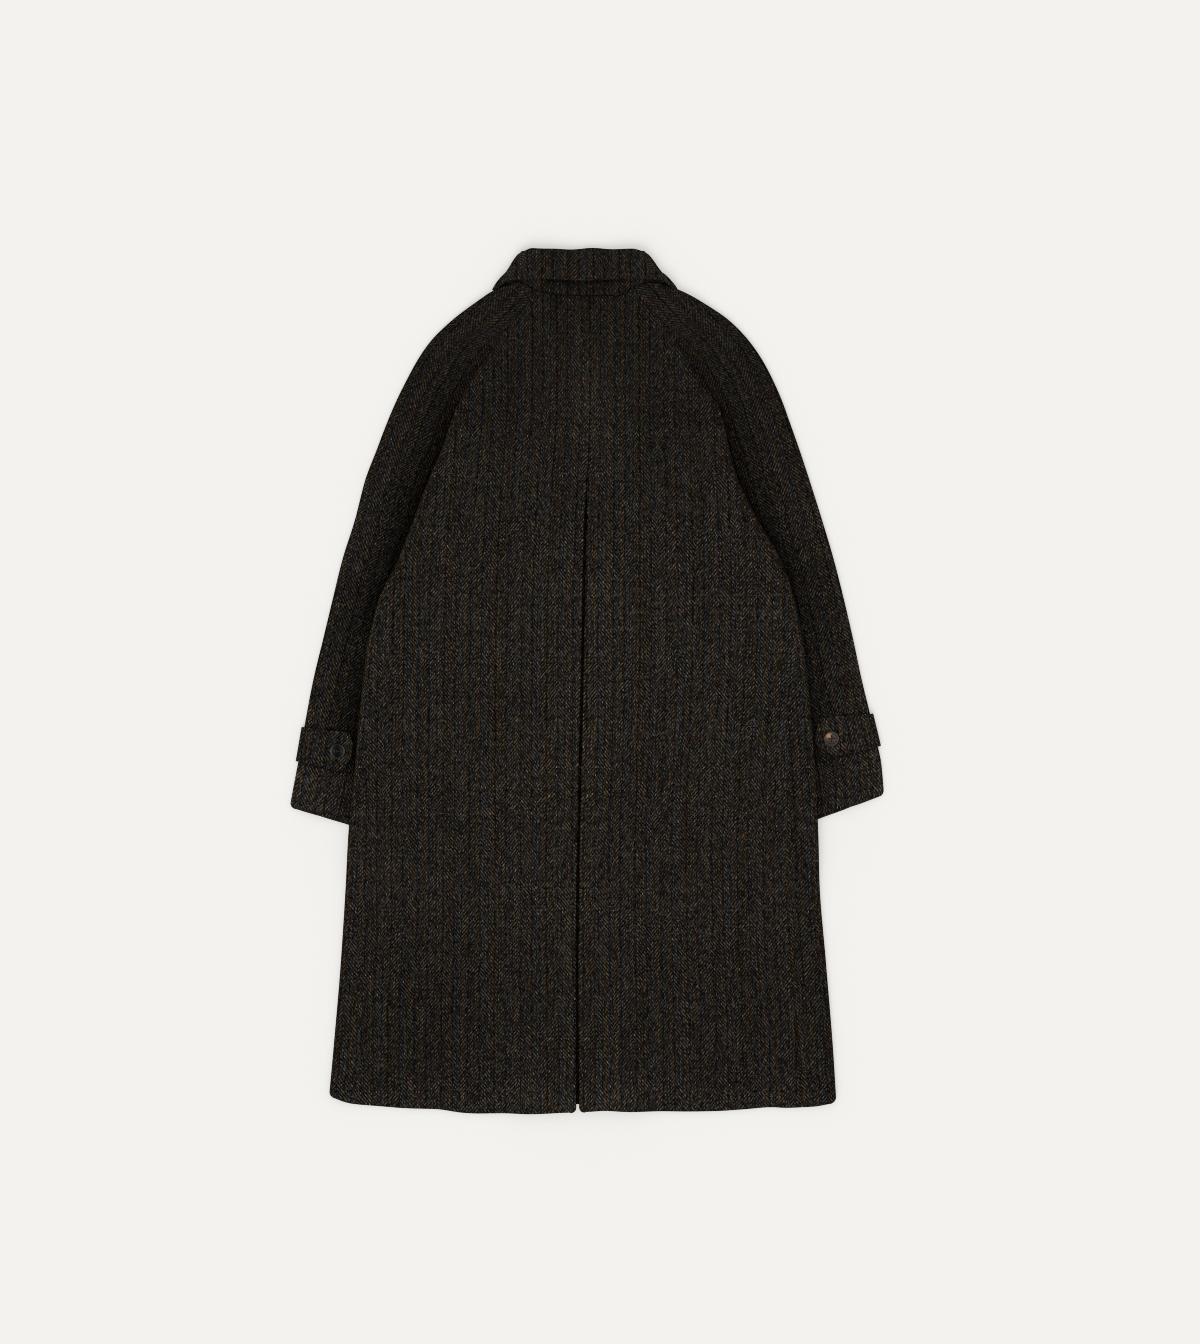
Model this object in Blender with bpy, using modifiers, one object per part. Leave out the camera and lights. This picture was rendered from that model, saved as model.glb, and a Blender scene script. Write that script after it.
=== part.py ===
# Raglan coat of herringbone tweed, laid flat on a surface with its back up.
# Sizes are in millimetres. +X points to the wearer's right, +Y to the collar and +Z up.

import math

import bmesh
import bpy
from mathutils import Vector

COAT = "raglan_coat"
MM = 0.001
SIDES = {"left": -1, "right": 1}

# Cloth and its layers
CLOTH = 1.8  # wall of one layer of tweed
PITCH = 2.8  # from the middle of one layer to the middle of the next
FLOOR = CLOTH / 2  # middle of the layer that rests on the surface
SEAM_GAP = 0.4  # between pieces sewn edge to edge

# Folds, as half ellipses: reach is the horizontal half axis
SIDE_FOLD_REACH = 3.2
SIDE_FOLD_LOFT = 1.6  # how much the back stands up along the side fold
SIDE_FOLD_WIDTH = 60
SLEEVE_FOLD_REACH = 2.0
FOLD_STEPS = (90, 60, 30, 0, -30, -60, -90)

# Pleat and fronts
PLEAT_TOP = 268
PLEAT_DEPTH = 58  # width of cloth turned under on each side
SLIT = 3.4  # between the two pleat edges, once the slit has opened
SLIT_OPENS = 55  # length over which it opens
UNDERLAY_HALF = 54
UNDERLAY_HEM = -567
FRONT_OVERLAP = 48  # each front past the centre line
FRONT_HEM_RISE = 14  # the fronts end above the back's hem at the centre

# Sleeves
ARMPIT = 356  # height where the raglan seam meets the side fold
PUFF = 2.4  # rise of a sleeve's back between its edges
CUFF_SHOWS = 80  # width of sleeve beside the body

# Where one layer lifts another, each as the place it starts from and the place it is whole
COLLAR_UNDER_Y = (340, 392)  # the collar's front lies under the fronts and the sleeves' tops
COLLAR_UNDER_X = (178, 128)
SLEEVE_UNDER_TOP = (400, 345)  # the body lies over the inner half of both sleeves
SLEEVE_UNDER_CUFF = (-290, -224)
SLEEVE_UNDER_X = (100, 10)  # past the sleeve's inner edge
FRONTS_CROSS_X = (100, FRONT_OVERLAP)
BACK_OVER_FRONTS_X = (105, FRONT_OVERLAP + 2)
FRONTS_CROSS_Y = (505, 465)
PLEAT_UNDER_X = (120, 62)
PLEAT_UNDER_Y = (340, PLEAT_TOP + 8)
NECK_SAGS_X = (60, 15)
NECK_SAGS_Y = (490, 530)
SIDE_FOLD_FROM = (372, 320)
PUFF_FROM = (505, 440)
SLEEVE_HIDES = (372, 300)
UNDERARM_FOLDS = (362, 346)

# Collar
COLLAR_MIDDLE = 5.2  # height of the collar's side folds
ROLL_RADIUS = PITCH / 2
ROLL_HALF = 79.6
NECK_HALF = 90
FALL_HALF = 125.5
FALL_FLARE = 0.75  # below 1, the fall spreads most just under the roll
STAND_GAP = 0.8  # between the stand and the panels' neck edges

# Cuff straps and buttons
STRAP = 2.0
STRAP_LIE = 0.4
STRAP_BULGE = 1.2  # slack where the strap turns round the sleeve's edge
STRAP_CORNER = 9
STRAP_END = -15  # degrees below the sleeve's edge, where it is sewn in
BUTTON_LIE = 0.4
HOLE_RADIUS = 1.1
HOLE_OFFSET = 2.3
HOLE_SIDES = 12
HOLE_CUT = 12  # length of the cutter
BUTTON_STEPS = 28
BUTTON_REST = 6  # the slope under a button is taken this far each way


def table(columns, rows):
    names = columns.split()
    return {name: [row[k] for row in rows] for k, name in enumerate(names)}


# Edge of the body from hem to neck: side fold up to the armpit, then the raglan seam
BODY = table("height left right", [
    (-560, -346, 335),
    (-480, -339, 330),
    (-375, -330, 321),
    (-270, -323, 312),
    (-200, -319, 310),
    (-120, -311, 306),
    (-40, -304, 300),
    (40, -295, 291),
    (105, -280, 279),
    (160, -254, 261),
    (220, -231, 227),
    (270, -212, 203),
    (320, -191, 189),
    (356, -179, 181),
    (372, -172, 174),
    (396, -159, 154),
    (420, -143, 138),
    (444, -125.5, 124),
    (468, -110, 112),
    (490, -93, 93),
    (508, -79, 75),
    (527, -77, 63),
])

# Side seam on the back, inwards from the side fold
SIDE_SEAM = table("height left right", [
    (-570, 38, 46),
    (-360, 22, 47),
    (-180, 13, 41),
    (-50, 12, 31),
    (60, 7, 8),
    (120, 7, 7),
])

HEM = table("x height", [
    (-346, -553),
    (-314, -567),
    (-237, -574),
    (-165, -579.5),
    (-70, -581),
    (14, -578.5),
    (97, -578),
    (167, -577),
    (220, -573.5),
    (290, -573),
    (318, -568),
    (335, -558),
])
HEM_SIDE = -553
HEM_BEND_FROM = -250  # rows start to bend to the hem here
FRONT_RISE_FROM = -350

PLEAT = table("height x", [
    (-567, -12),
    (-402, -13),
    (66, -5),
    (169, -3),
    (268, 0),
])

NECK = table("x height", [
    (-93, 537),
    (-77, 527),
    (-60, 520),
    (-40, 517),
    (0, 516),
    (45, 516),
    (63, 527),
    (90, 537),
])
NECK_SIDE = 527
NECK_BEND_FROM = 330  # and to the neckline here
NECK_FRONT = table("half height", [
    (0, 449),
    (27, 454),
    (44, 463),
    (58, 500),
    (62.5, 527),
    (77, 527),
])

# Inner edge of each sleeve, under the body from the cuff to the armpit
UNDERARM = table("height left right", [
    (-216, -243, 240),
    (-100, -212, 210),
    (20, -180, 180),
    (130, -152, 153),
    (250, -128, 130),
    (310, -134, 136),
    (345, -170, 172),
    (356, -179, 181),
])

# Sections across each sleeve, from its inner edge at height inner to its outer edge
SLEEVE = {
    "left": table("inner outer x", [
        (-216, -166, -398.5),
        (-130, -108, -387),
        (-82, -62, -379),
        (-8, 1, -367),
        (58, 55, -354),
        (125, 109, -341),
        (190, 162, -328),
        (255, 216, -311),
        (312, 270, -297),
        (345, 310, -282),
        (372, 345, -269),
        (396, 374, -257),
        (420, 401, -244),
        (444, 428, -229.5),
        (468, 455, -211),
        (490, 483, -182.5),
        (508, 509, -148),
        (518, 521, -126),
        (527, 535.5, -93),
    ]),
    "right": table("inner outer x", [
        (-215, -147, 398.5),
        (-133, -88, 388),
        (-58, -44, 379.5),
        (0, 1, 369),
        (62, 55, 357.5),
        (128, 109, 345),
        (192, 162, 331.5),
        (255, 216, 315.5),
        (312, 270, 298.5),
        (345, 310, 285.5),
        (372, 345, 273.5),
        (396, 374, 263.5),
        (420, 401, 252),
        (444, 428, 238),
        (468, 455, 219.5),
        (490, 483, 192.5),
        (508, 509, 154),
        (518, 521, 128),
        (527, 535.5, 90),
    ]),
}

# Heights of the collar's three lines on the back and, by share of the half width, in front
COLLAR_BACK = table("share roll fall", [
    (0, 577, 536.5),
    (0.6, 577.3, 539),
    (0.85, 577.3, 537),
    (1, 574, 526),
])
COLLAR_FRONT = table("share neck roll fall", [
    (0, 453, 481, 432),
    (0.3, 459, 490, 408),
    (0.5, 469, 506, 399),
    (0.65, 508, 540, 415),
    (0.71, 530, 553, 430),
    (0.87, 532, 566, 484),
    (1, 537.5, 574, 526),
])

# Cuff straps between two sleeve sections, and the buttons on them
STRAPS = table("side upper lower reach button_section button_reach", [
    ("left", -82, -130, 69, -109, 49.5),
    ("right", -58, -133, 80, -98, 56.5),
])

# Turned profile of a button, from its face down to its back
BUTTON_PROFILE = [(0, 2.6), (5.4, 2.6), (6.4, 3.5), (8.4, 4.0), (9.6, 3.3), (10, 2.1), (9.2, 0.6), (7.4, 0), (0, 0)]

# Stations along the body and the sleeves
RAGLAN_ROWS = (372, 396, 420, 444, 468, 490, 508, 518, 527)
BODY_ROWS = (HEM_SIDE, -500, -430, -360, -290, -225, -150, -80, -10, 50, 95, 130, 175, 220, 268, 310, 345, ARMPIT)
SLEEVE_ROWS = (-216, -180, -130, -82, -20, 50, 125, 190, 250, 290, 325, 345, ARMPIT)

COLOURS = {
    "tweed": (0.017, 0.0145, 0.0115),
    "collar tweed": (0.0145, 0.0125, 0.0098),
    "dark horn": (0.036, 0.036, 0.04),
    "brown horn": (0.09, 0.05, 0.03),
}


def smooth(columns, key, value, at):
    # A curve through the table's rows that never overshoots them
    keys = columns[key]
    values = columns[value]
    if at <= keys[0]:
        return values[0]
    if at >= keys[-1]:
        return values[-1]
    steps = [(values[k + 1] - values[k]) / (keys[k + 1] - keys[k]) for k in range(len(keys) - 1)]
    slopes = [steps[0]]
    for before, after in zip(steps, steps[1:]):
        slopes.append(2 * before * after / (before + after) if before * after > 0 else 0)
    slopes.append(steps[-1])
    k = max(k for k in range(len(keys) - 1) if keys[k] <= at)
    span = keys[k + 1] - keys[k]
    t = (at - keys[k]) / span
    start = values[k] * (1 + 2 * t) * (1 - t) ** 2 + slopes[k] * span * t * (1 - t) ** 2
    end = values[k + 1] * t * t * (3 - 2 * t) + slopes[k + 1] * span * t * t * (t - 1)
    return start + end


def ease(start, end, at):
    t = min(1, max(0, (at - start) / (end - start)))
    return t * t * (3 - 2 * t)


def mix(start, end, share):
    return start + (end - start) * share


# Heights of the layers

def collar_lift(x, y):
    return PITCH * ease(*COLLAR_UNDER_Y, y) * ease(*COLLAR_UNDER_X, abs(x))


def sleeve_lift(x, y):
    over_arm = ease(*SLEEVE_UNDER_TOP, y) * ease(*SLEEVE_UNDER_CUFF, y)
    left = ease(*SLEEVE_UNDER_X, x - smooth(UNDERARM, "height", "left", y))
    right = ease(*SLEEVE_UNDER_X, smooth(UNDERARM, "height", "right", y) - x)
    return 2 * PITCH * over_arm * max(left, right)


def front_level(side, x, y):
    # The right front lies over the left one at the centre
    crosses = ease(*FRONTS_CROSS_X, x) * ease(*FRONTS_CROSS_Y, y)
    overlap = PITCH * crosses if side == "right" else 0
    return FLOOR + collar_lift(x, y) + sleeve_lift(x, y) + overlap


def pleat_x(y):
    return smooth(PLEAT, "height", "x", y)


def back_level(x, y):
    over_fronts = PITCH * ease(*BACK_OVER_FRONTS_X, abs(x)) * ease(*FRONTS_CROSS_Y, y)
    over_pleat = 2 * PITCH * ease(*PLEAT_UNDER_X, abs(x - pleat_x(y))) * ease(*PLEAT_UNDER_Y, y)
    neck_sag = PITCH * ease(*NECK_SAGS_X, abs(x)) * ease(*NECK_SAGS_Y, y)
    side = "left" if x < 0 else "right"
    from_fold = abs(smooth(BODY, "height", side, y)) - abs(x)
    fold_loft = SIDE_FOLD_LOFT * ease(SIDE_FOLD_WIDTH, 0, from_fold) * ease(*SIDE_FOLD_FROM, y)
    lifts = collar_lift(x, y) + sleeve_lift(x, y) + over_fronts + over_pleat + fold_loft
    return FLOOR + PITCH + lifts - neck_sag


# Sheets of cloth

def solidify(obj, thickness):
    modifier = obj.modifiers.new("wall", "SOLIDIFY")
    modifier.thickness = thickness * MM
    modifier.offset = 0
    modifier.use_even_offset = True
    modifier.use_quality_normals = True


def sheet(name, across, along, place, thickness, material, keep=None):
    # A grid of the stations across and along, moved to its place and given its wall
    columns = len(across) - 1
    rows = len(along) - 1
    form = bmesh.new()
    bmesh.ops.create_grid(form, x_segments=columns, y_segments=rows, size=0.5)
    spare = []
    for face in form.faces:
        middle = face.calc_center_median()
        cell = (int((middle.x + 0.5) * columns), int((middle.y + 0.5) * rows))
        if keep and not keep(*cell):
            spare.append(face)
    for vert in form.verts:
        column = round((vert.co.x + 0.5) * columns)
        row = round((vert.co.y + 0.5) * rows)
        vert.co = Vector(place(across[column], along[row])) * MM
    bmesh.ops.delete(form, geom=spare, context="FACES")
    mesh = bpy.data.meshes.new(name)
    form.to_mesh(mesh)
    form.free()
    mesh.shade_smooth()
    obj = bpy.data.objects.new(name, mesh)
    obj.data.materials.append(material)
    solidify(obj, thickness)
    return obj


def principled(name, roughness):
    material = bpy.data.materials.new(name)
    material.use_nodes = True
    shader = material.node_tree.nodes["Principled BSDF"]
    shader.inputs["Base Color"].default_value = (*COLOURS[name], 1)
    shader.inputs["Roughness"].default_value = roughness
    shader.inputs["Metallic"].default_value = 0
    return material


# Body

def body_y(x, height, top):
    # Rows bend to the hem at the bottom and to the neckline at the top
    hem = (smooth(HEM, "x", "height", x) - HEM_SIDE) * ease(HEM_BEND_FROM, HEM_SIDE, height)
    neck = min(0, top - NECK_SIDE) * ease(NECK_BEND_FROM, NECK_SIDE, height)
    return height + hem + neck


def seam_x(side, height):
    # Edge of the back: the raglan seam, or the side seam below the armpit
    edge = smooth(BODY, "height", side, height)
    inset = 0 if height > ARMPIT else smooth(SIDE_SEAM, "height", side, height)
    return edge - SIDES[side] * inset


def back_point(side, station, height):
    part, amount = station
    sign = SIDES[side]
    if height > PLEAT_TOP:
        middle = sign * SEAM_GAP / 2
        start = middle
    else:
        slit = SEAM_GAP + (SLIT - SEAM_GAP) * ease(PLEAT_TOP, PLEAT_TOP - SLIT_OPENS, height)
        middle = pleat_x(height) + sign * (slit + CLOTH) / 2
        start = middle + sign * ROLL_RADIUS
    if part == "panel":
        x = mix(start, seam_x(side, height) - sign * SEAM_GAP / 2, amount)
        drop = 0
    elif part == "fold":
        angle = math.radians(amount)
        x = start - sign * ROLL_RADIUS * math.cos(angle)
        drop = ROLL_RADIUS * (1 - math.sin(angle))
    else:
        x = start + sign * amount
        drop = PITCH
    y = body_y(x, height, smooth(NECK, "x", "height", x))
    return x, y, back_level(x, y) - drop


def make_back(side, material):
    shares = (1, 0.88, 0.76, 0.64, 0.52, 0.4, 0.28, 0.16, 0.07, 0)
    across = [("panel", share) for share in shares]
    across += [("fold", angle) for angle in (45, 0, -45, -90)]
    across += [("return", PLEAT_DEPTH * share) for share in (0.4, 0.75, 1)]
    along = BODY_ROWS + RAGLAN_ROWS
    panels = len(shares) - 1
    pleat_row = BODY_ROWS.index(PLEAT_TOP)

    def keep(column, row):
        return column < panels or row < pleat_row

    def place(station, height):
        return back_point(side, station, height)

    return sheet(f"back_{side}", across, along, place, CLOTH, material, keep)


def make_underlay(material):
    across = [share * UNDERLAY_HALF for share in (-1, -0.5, 0, 0.5, 1)]
    along = (UNDERLAY_HEM,) + tuple(row for row in BODY_ROWS[1:] if row <= PLEAT_TOP)

    def place(offset, height):
        x = pleat_x(height) + offset
        return x, height, back_level(x, height) - 2 * PITCH

    return sheet("pleat_underlay", across, along, place, CLOTH, material)


def front_point(side, station, height):
    part, amount = station
    sign = SIDES[side]
    edge = smooth(BODY, "height", side, height) - sign * CLOTH / 2
    turn = edge - sign * SIDE_FOLD_REACH
    top_x = seam_x(side, height) + sign * SEAM_GAP / 2
    centre = -sign * FRONT_OVERLAP
    if height > ARMPIT:
        turn = smooth(BODY, "height", side, height) - sign * SEAM_GAP / 2
    if part == "top":
        x = mix(top_x, turn, amount)
    elif part == "fold":
        x = turn
    else:
        x = mix(turn, centre, amount)
    half = abs(x) if x * sign > 0 else 0
    neckline = smooth(NECK_FRONT, "half", "height", half)
    inwards = ease(0, 0.6, amount) if part == "under" else 0
    rise = FRONT_HEM_RISE * ease(FRONT_RISE_FROM, HEM_SIDE, height) * inwards
    y = body_y(x, height, neckline) + rise
    if part == "top":
        return x, y, back_level(x, y)
    low = front_level(side, x, y)
    if part == "under":
        return x, y, low
    high = back_level(x, y)
    angle = math.radians(amount)
    nose = turn + sign * SIDE_FOLD_REACH * math.cos(angle)
    return nose, y, mix(low, high, (1 + math.sin(angle)) / 2)


def make_front(side, material):
    across = [("top", 0), ("top", 0.5)]
    across += [("fold", angle) for angle in FOLD_STEPS]
    across += [("under", share) for share in (0.08, 0.2, 0.32, 0.44, 0.56, 0.68, 0.79, 0.9, 1)]
    along = BODY_ROWS + RAGLAN_ROWS
    under = 2 + len(FOLD_STEPS) - 1
    armpit_row = BODY_ROWS.index(ARMPIT)

    def keep(column, row):
        return column >= under or row < armpit_row

    def place(station, height):
        return front_point(side, station, height)

    return sheet(f"front_{side}", across, along, place, CLOTH, material, keep)


# Sleeves

def sleeve_section(side, inner):
    # Outer point, direction inwards and width of one section across the sleeve
    rows = SLEEVE[side]
    outer = Vector((smooth(rows, "inner", "x", inner), smooth(rows, "inner", "outer", inner)))
    edge = BODY if inner > ARMPIT else UNDERARM
    end = Vector((smooth(edge, "height", side, inner), inner))
    return outer, (end - outer).normalized(), (end - outer).length


def sleeve_levels(side, inner, reach):
    # Plan point and the heights of the front and back layers there
    outer, inwards, width = sleeve_section(side, inner)
    x, y = outer + inwards * reach
    shown = mix(width, CUFF_SHOWS, ease(*SLEEVE_HIDES, inner))
    share = min(1, max(0, reach / shown))
    low = FLOOR + collar_lift(x, y)
    puff = PUFF * ease(*PUFF_FROM, inner) * math.sin(math.pi * share) ** 2
    return x, y, low, low + PITCH + puff


def sleeve_point(layer, side, station, inner):
    part, amount = station
    width = sleeve_section(side, inner)[2] - SEAM_GAP / 2
    turn = CLOTH / 2 + SLEEVE_FOLD_REACH
    if part == "fold":
        angle = math.radians(amount)
        low, high = sleeve_levels(side, inner, turn)[2:]
        x, y = sleeve_levels(side, inner, turn - SLEEVE_FOLD_REACH * math.cos(angle))[:2]
        return x, y, mix(low, high, (1 + math.sin(angle)) / 2)
    if part == "across":
        reach = mix(turn, width - SLEEVE_FOLD_REACH, amount)
        bend = 0
    else:
        angle = math.radians(amount)
        reach = width - SLEEVE_FOLD_REACH * (1 - math.sin(angle))
        bend = ROLL_RADIUS * (1 - math.cos(angle)) * ease(*UNDERARM_FOLDS, inner)
    x, y, low, high = sleeve_levels(side, inner, reach)
    return (x, y, high - bend) if layer == "back" else (x, y, low + bend)


def make_sleeve(layer, side, material):
    turns = {"back": (0, 30, 60, 90), "front": (-60, -75, -90)}
    shares = {"back": (0.1, 0.22, 0.34, 0.46, 0.6, 0.8, 1), "front": (0.15, 0.35, 0.6, 0.8, 1)}
    inner_turns = {"back": (35, 60), "front": (25, 40)}
    across = [("fold", angle) for angle in turns[layer]]
    across += [("across", share) for share in shares[layer]]
    across += [("underarm", angle) for angle in inner_turns[layer]]
    along = SLEEVE_ROWS + RAGLAN_ROWS

    def place(station, inner):
        return sleeve_point(layer, side, station, inner)

    return sheet(f"sleeve_{layer}_{side}", across, along, place, CLOTH, material)


# Collar

def collar_point(station, column):
    zone, sign, amount = station
    part, share = column
    if part == "stand":
        half = mix(NECK_HALF, ROLL_HALF - ROLL_RADIUS, share)
        out = -ROLL_RADIUS
    elif part == "roll":
        half = ROLL_HALF + ROLL_RADIUS * math.cos(math.radians(share))
        out = ROLL_RADIUS * math.cos(math.radians(share))
    else:
        half = mix(ROLL_HALF + ROLL_RADIUS, FALL_HALF, share ** FALL_FLARE)
        out = ROLL_RADIUS
    radius = 2 * ROLL_RADIUS + out
    straight = half - radius
    x = sign * straight * (amount if zone != "side" else 1)
    if zone == "side":
        x += sign * radius * math.sin(math.radians(amount))
    reach = amount if zone != "side" else 1
    if zone == "front":
        neck = smooth(COLLAR_FRONT, "share", "neck", reach)
        roll = smooth(COLLAR_FRONT, "share", "roll", reach)
        fall = smooth(COLLAR_FRONT, "share", "fall", reach)
    else:
        neck = smooth(NECK, "x", "height", sign * NECK_HALF * reach) + STAND_GAP
        roll = smooth(COLLAR_BACK, "share", "roll", reach)
        fall = smooth(COLLAR_BACK, "share", "fall", reach)
    if part == "stand":
        y = mix(neck, roll, share)
    elif part == "roll":
        y = roll + ROLL_RADIUS * math.sin(math.radians(share))
    else:
        y = mix(roll, fall, share)
    if zone == "front":
        return x, y, COLLAR_MIDDLE - radius
    if zone == "side":
        return x, y, COLLAR_MIDDLE + radius * math.cos(math.radians(amount))
    return x, y, back_level(x, y) + ROLL_RADIUS + out


def make_collar(material):
    fronts = (0.06, 0.22, 0.4, 0.56, 0.7, 0.82, 0.92, 1)
    turns = (150, 120, 90, 60, 30)
    backs = (1, 0.92, 0.82, 0.7, 0.5, 0.25)
    half = [("front", share) for share in fronts]
    half += [("side", angle) for angle in turns]
    half += [("back", share) for share in backs]
    along = [(zone, -1, amount) for zone, amount in half] + [("back", 1, 0)]
    along += [(zone, 1, amount) for zone, amount in reversed(half)]
    across = [("stand", 0), ("stand", 0.5)]
    across += [("roll", angle) for angle in (180, 135, 90, 45, 0)]
    across += [("fall", share) for share in (0.25, 0.6, 1)]

    def place(column, station):
        return collar_point(station, column)

    return sheet("collar", across, along, place, CLOTH, material)


# Cuff straps and buttons

def strap_rise():
    return CLOTH / 2 + STRAP_LIE + STRAP / 2


def make_strap(row, material):
    side = STRAPS["side"][row]
    reach = STRAPS["reach"][row]
    across = (-1, -0.85, -0.5, 0, 0.5, 0.85, 1)
    along = [("fold", angle) for angle in (STRAP_END, 15, 45, 70, 90)]
    along += [("top", share) for share in (0.14, 0.3, 0.46, 0.62, 0.78, 0.9, 1)]
    turn = CLOTH / 2 + SLEEVE_FOLD_REACH
    rise = strap_rise()

    def place(width, station):
        part, amount = station
        section = mix(STRAPS["upper"][row], STRAPS["lower"][row], (width + 1) / 2)
        if part == "fold":
            angle = math.radians(amount)
            low, high = sleeve_levels(side, section, turn)[2:]
            out = SLEEVE_FOLD_REACH + rise + STRAP_BULGE
            x, y = sleeve_levels(side, section, turn - out * math.cos(angle))[:2]
            return x, y, (low + high) / 2 + ((high - low) / 2 + rise) * math.sin(angle)
        corner = STRAP_CORNER * abs(width) ** 3 * amount ** 4
        x, y, low, high = sleeve_levels(side, section, mix(turn, reach, amount) - corner)
        return x, y, high + rise

    return sheet(f"cuff_strap_{side}", across, along, place, STRAP, material)


def turned(name, profile, steps):
    # A profile in the XZ plane, run from the top down its outer side and turned about Z
    mesh = bpy.data.meshes.new(name)
    points = [(radius * MM, 0, height * MM) for radius, height in profile]
    mesh.from_pydata(points, [(k, k + 1) for k in range(len(points) - 1)], [])
    obj = bpy.data.objects.new(name, mesh)
    screw = obj.modifiers.new("turn", "SCREW")
    screw.steps = steps
    screw.render_steps = steps
    screw.use_merge_vertices = True
    screw.merge_threshold = 0.00001
    screw.use_normal_calculate = True
    return obj


def make_hole_cutter(name, cutters):
    form = bmesh.new()
    radius = HOLE_RADIUS * MM
    for dx, dy in ((1, 1), (1, -1), (-1, 1), (-1, -1)):
        made = bmesh.ops.create_cone(form, cap_ends=True, segments=HOLE_SIDES, radius1=radius,
                                     radius2=radius, depth=HOLE_CUT * MM)
        shift = Vector((dx * HOLE_OFFSET * MM, dy * HOLE_OFFSET * MM, 0))
        bmesh.ops.translate(form, verts=made["verts"], vec=shift)
    mesh = bpy.data.meshes.new(name)
    form.to_mesh(mesh)
    form.free()
    obj = bpy.data.objects.new(name, mesh)
    obj.hide_render = True
    obj.display_type = "WIRE"
    cutters.objects.link(obj)
    return obj


def make_button(row, material, cutters):
    side = STRAPS["side"][row]
    section = STRAPS["button_section"][row]
    reach = STRAPS["button_reach"][row]
    offsets = (0, -BUTTON_REST, BUTTON_REST)
    spots = [sleeve_levels(side, section, reach + offset) for offset in offsets]
    middle, outer, inner = [Vector((x, y, high)) for x, y, low, high in spots]
    slope = (inner - outer).normalized()
    lean = slope.cross(Vector((-slope.y, slope.x, 0))).normalized()
    up = lean if lean.z > 0 else -lean
    obj = turned(f"button_{side}", BUTTON_PROFILE, BUTTON_STEPS)
    obj.location = (middle + up * (strap_rise() + STRAP / 2 + BUTTON_LIE)) * MM
    obj.rotation_euler = Vector((0, 0, 1)).rotation_difference(up).to_euler()
    obj.data.materials.append(material)
    cut = obj.modifiers.new("holes", "BOOLEAN")
    cut.operation = "DIFFERENCE"
    cut.object = make_hole_cutter(f"holes_{side}", cutters)
    cut.object.location = obj.location
    cut.object.rotation_euler = obj.rotation_euler
    return obj


def main():
    for obj in list(bpy.data.objects):
        bpy.data.objects.remove(obj, do_unlink=True)
    coat = bpy.data.collections.new(COAT)
    cutters = bpy.data.collections.new(f"{COAT}_cutters")
    bpy.context.scene.collection.children.link(coat)
    bpy.context.scene.collection.children.link(cutters)
    tweed = principled("tweed", 0.95)
    collar_tweed = principled("collar tweed", 0.95)
    pieces = [make_underlay(tweed), make_collar(collar_tweed)]
    for side in SIDES:
        pieces.append(make_back(side, tweed))
        pieces.append(make_front(side, tweed))
        for layer in ("back", "front"):
            pieces.append(make_sleeve(layer, side, tweed))
    for row, horn in enumerate(("dark horn", "brown horn")):
        pieces.append(make_strap(row, tweed))
        pieces.append(make_button(row, principled(horn, 0.35), cutters))
    for piece in pieces:
        coat.objects.link(piece)


main()
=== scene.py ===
# Raglan coat of herringbone tweed, laid flat with its back up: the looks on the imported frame.
# Sizes in the tables are in millimetres, in the frame's own axes.
import math
from bisect import bisect_right
from functools import partial
import bmesh
import bpy
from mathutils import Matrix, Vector


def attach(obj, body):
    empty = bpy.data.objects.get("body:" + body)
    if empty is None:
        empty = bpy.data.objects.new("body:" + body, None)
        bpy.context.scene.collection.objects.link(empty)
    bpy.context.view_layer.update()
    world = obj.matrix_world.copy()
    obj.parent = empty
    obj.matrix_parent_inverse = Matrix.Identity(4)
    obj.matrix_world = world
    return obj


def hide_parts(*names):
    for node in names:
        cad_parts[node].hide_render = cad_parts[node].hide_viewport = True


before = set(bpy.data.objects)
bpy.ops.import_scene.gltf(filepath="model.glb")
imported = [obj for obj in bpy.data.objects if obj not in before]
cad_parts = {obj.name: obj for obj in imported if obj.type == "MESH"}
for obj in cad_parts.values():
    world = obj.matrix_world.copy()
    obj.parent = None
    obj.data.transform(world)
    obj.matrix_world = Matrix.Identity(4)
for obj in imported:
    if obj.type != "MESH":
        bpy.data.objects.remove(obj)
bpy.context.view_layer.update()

mm = 0.001
sides = {"left": -1, "right": 1}
scene = bpy.context.scene
print("frame loaded:", len(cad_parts), "pieces of cloth and horn")


def ease(start, end, at):
    t = min(1, max(0, (at - start) / (end - start)))
    return t * t * (3 - 2 * t)


def mix(start, end, share):
    return start + (end - start) * share


def steps(start, end, size):
    count = max(1, round(abs(end - start) / size))
    return [mix(start, end, k / count) for k in range(count)]


def curve(rows, column=1):
    # A line through the rows that never overshoots them
    keys = [row[0] for row in rows]
    values = [row[column] for row in rows]
    rises = [(values[k + 1] - values[k]) / (keys[k + 1] - keys[k]) for k in range(len(keys) - 1)]
    slopes = [rises[0]]
    for before, after in zip(rises, rises[1:]):
        slopes.append(2 * before * after / (before + after) if before * after > 0 else 0)
    slopes.append(rises[-1])

    def at(where):
        if where <= keys[0]:
            return values[0]
        if where >= keys[-1]:
            return values[-1]
        k = bisect_right(keys, where) - 1
        span = keys[k + 1] - keys[k]
        t = (where - keys[k]) / span
        start = values[k] * (1 + 2 * t) * (1 - t) ** 2 + slopes[k] * span * t * (1 - t) ** 2
        end = values[k + 1] * t * t * (3 - 2 * t) + slopes[k + 1] * span * t * t * (t - 1)
        return start + end

    return at


def pair(rows):
    return {"left": curve(rows, 1), "right": curve(rows, 2)}


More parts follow.
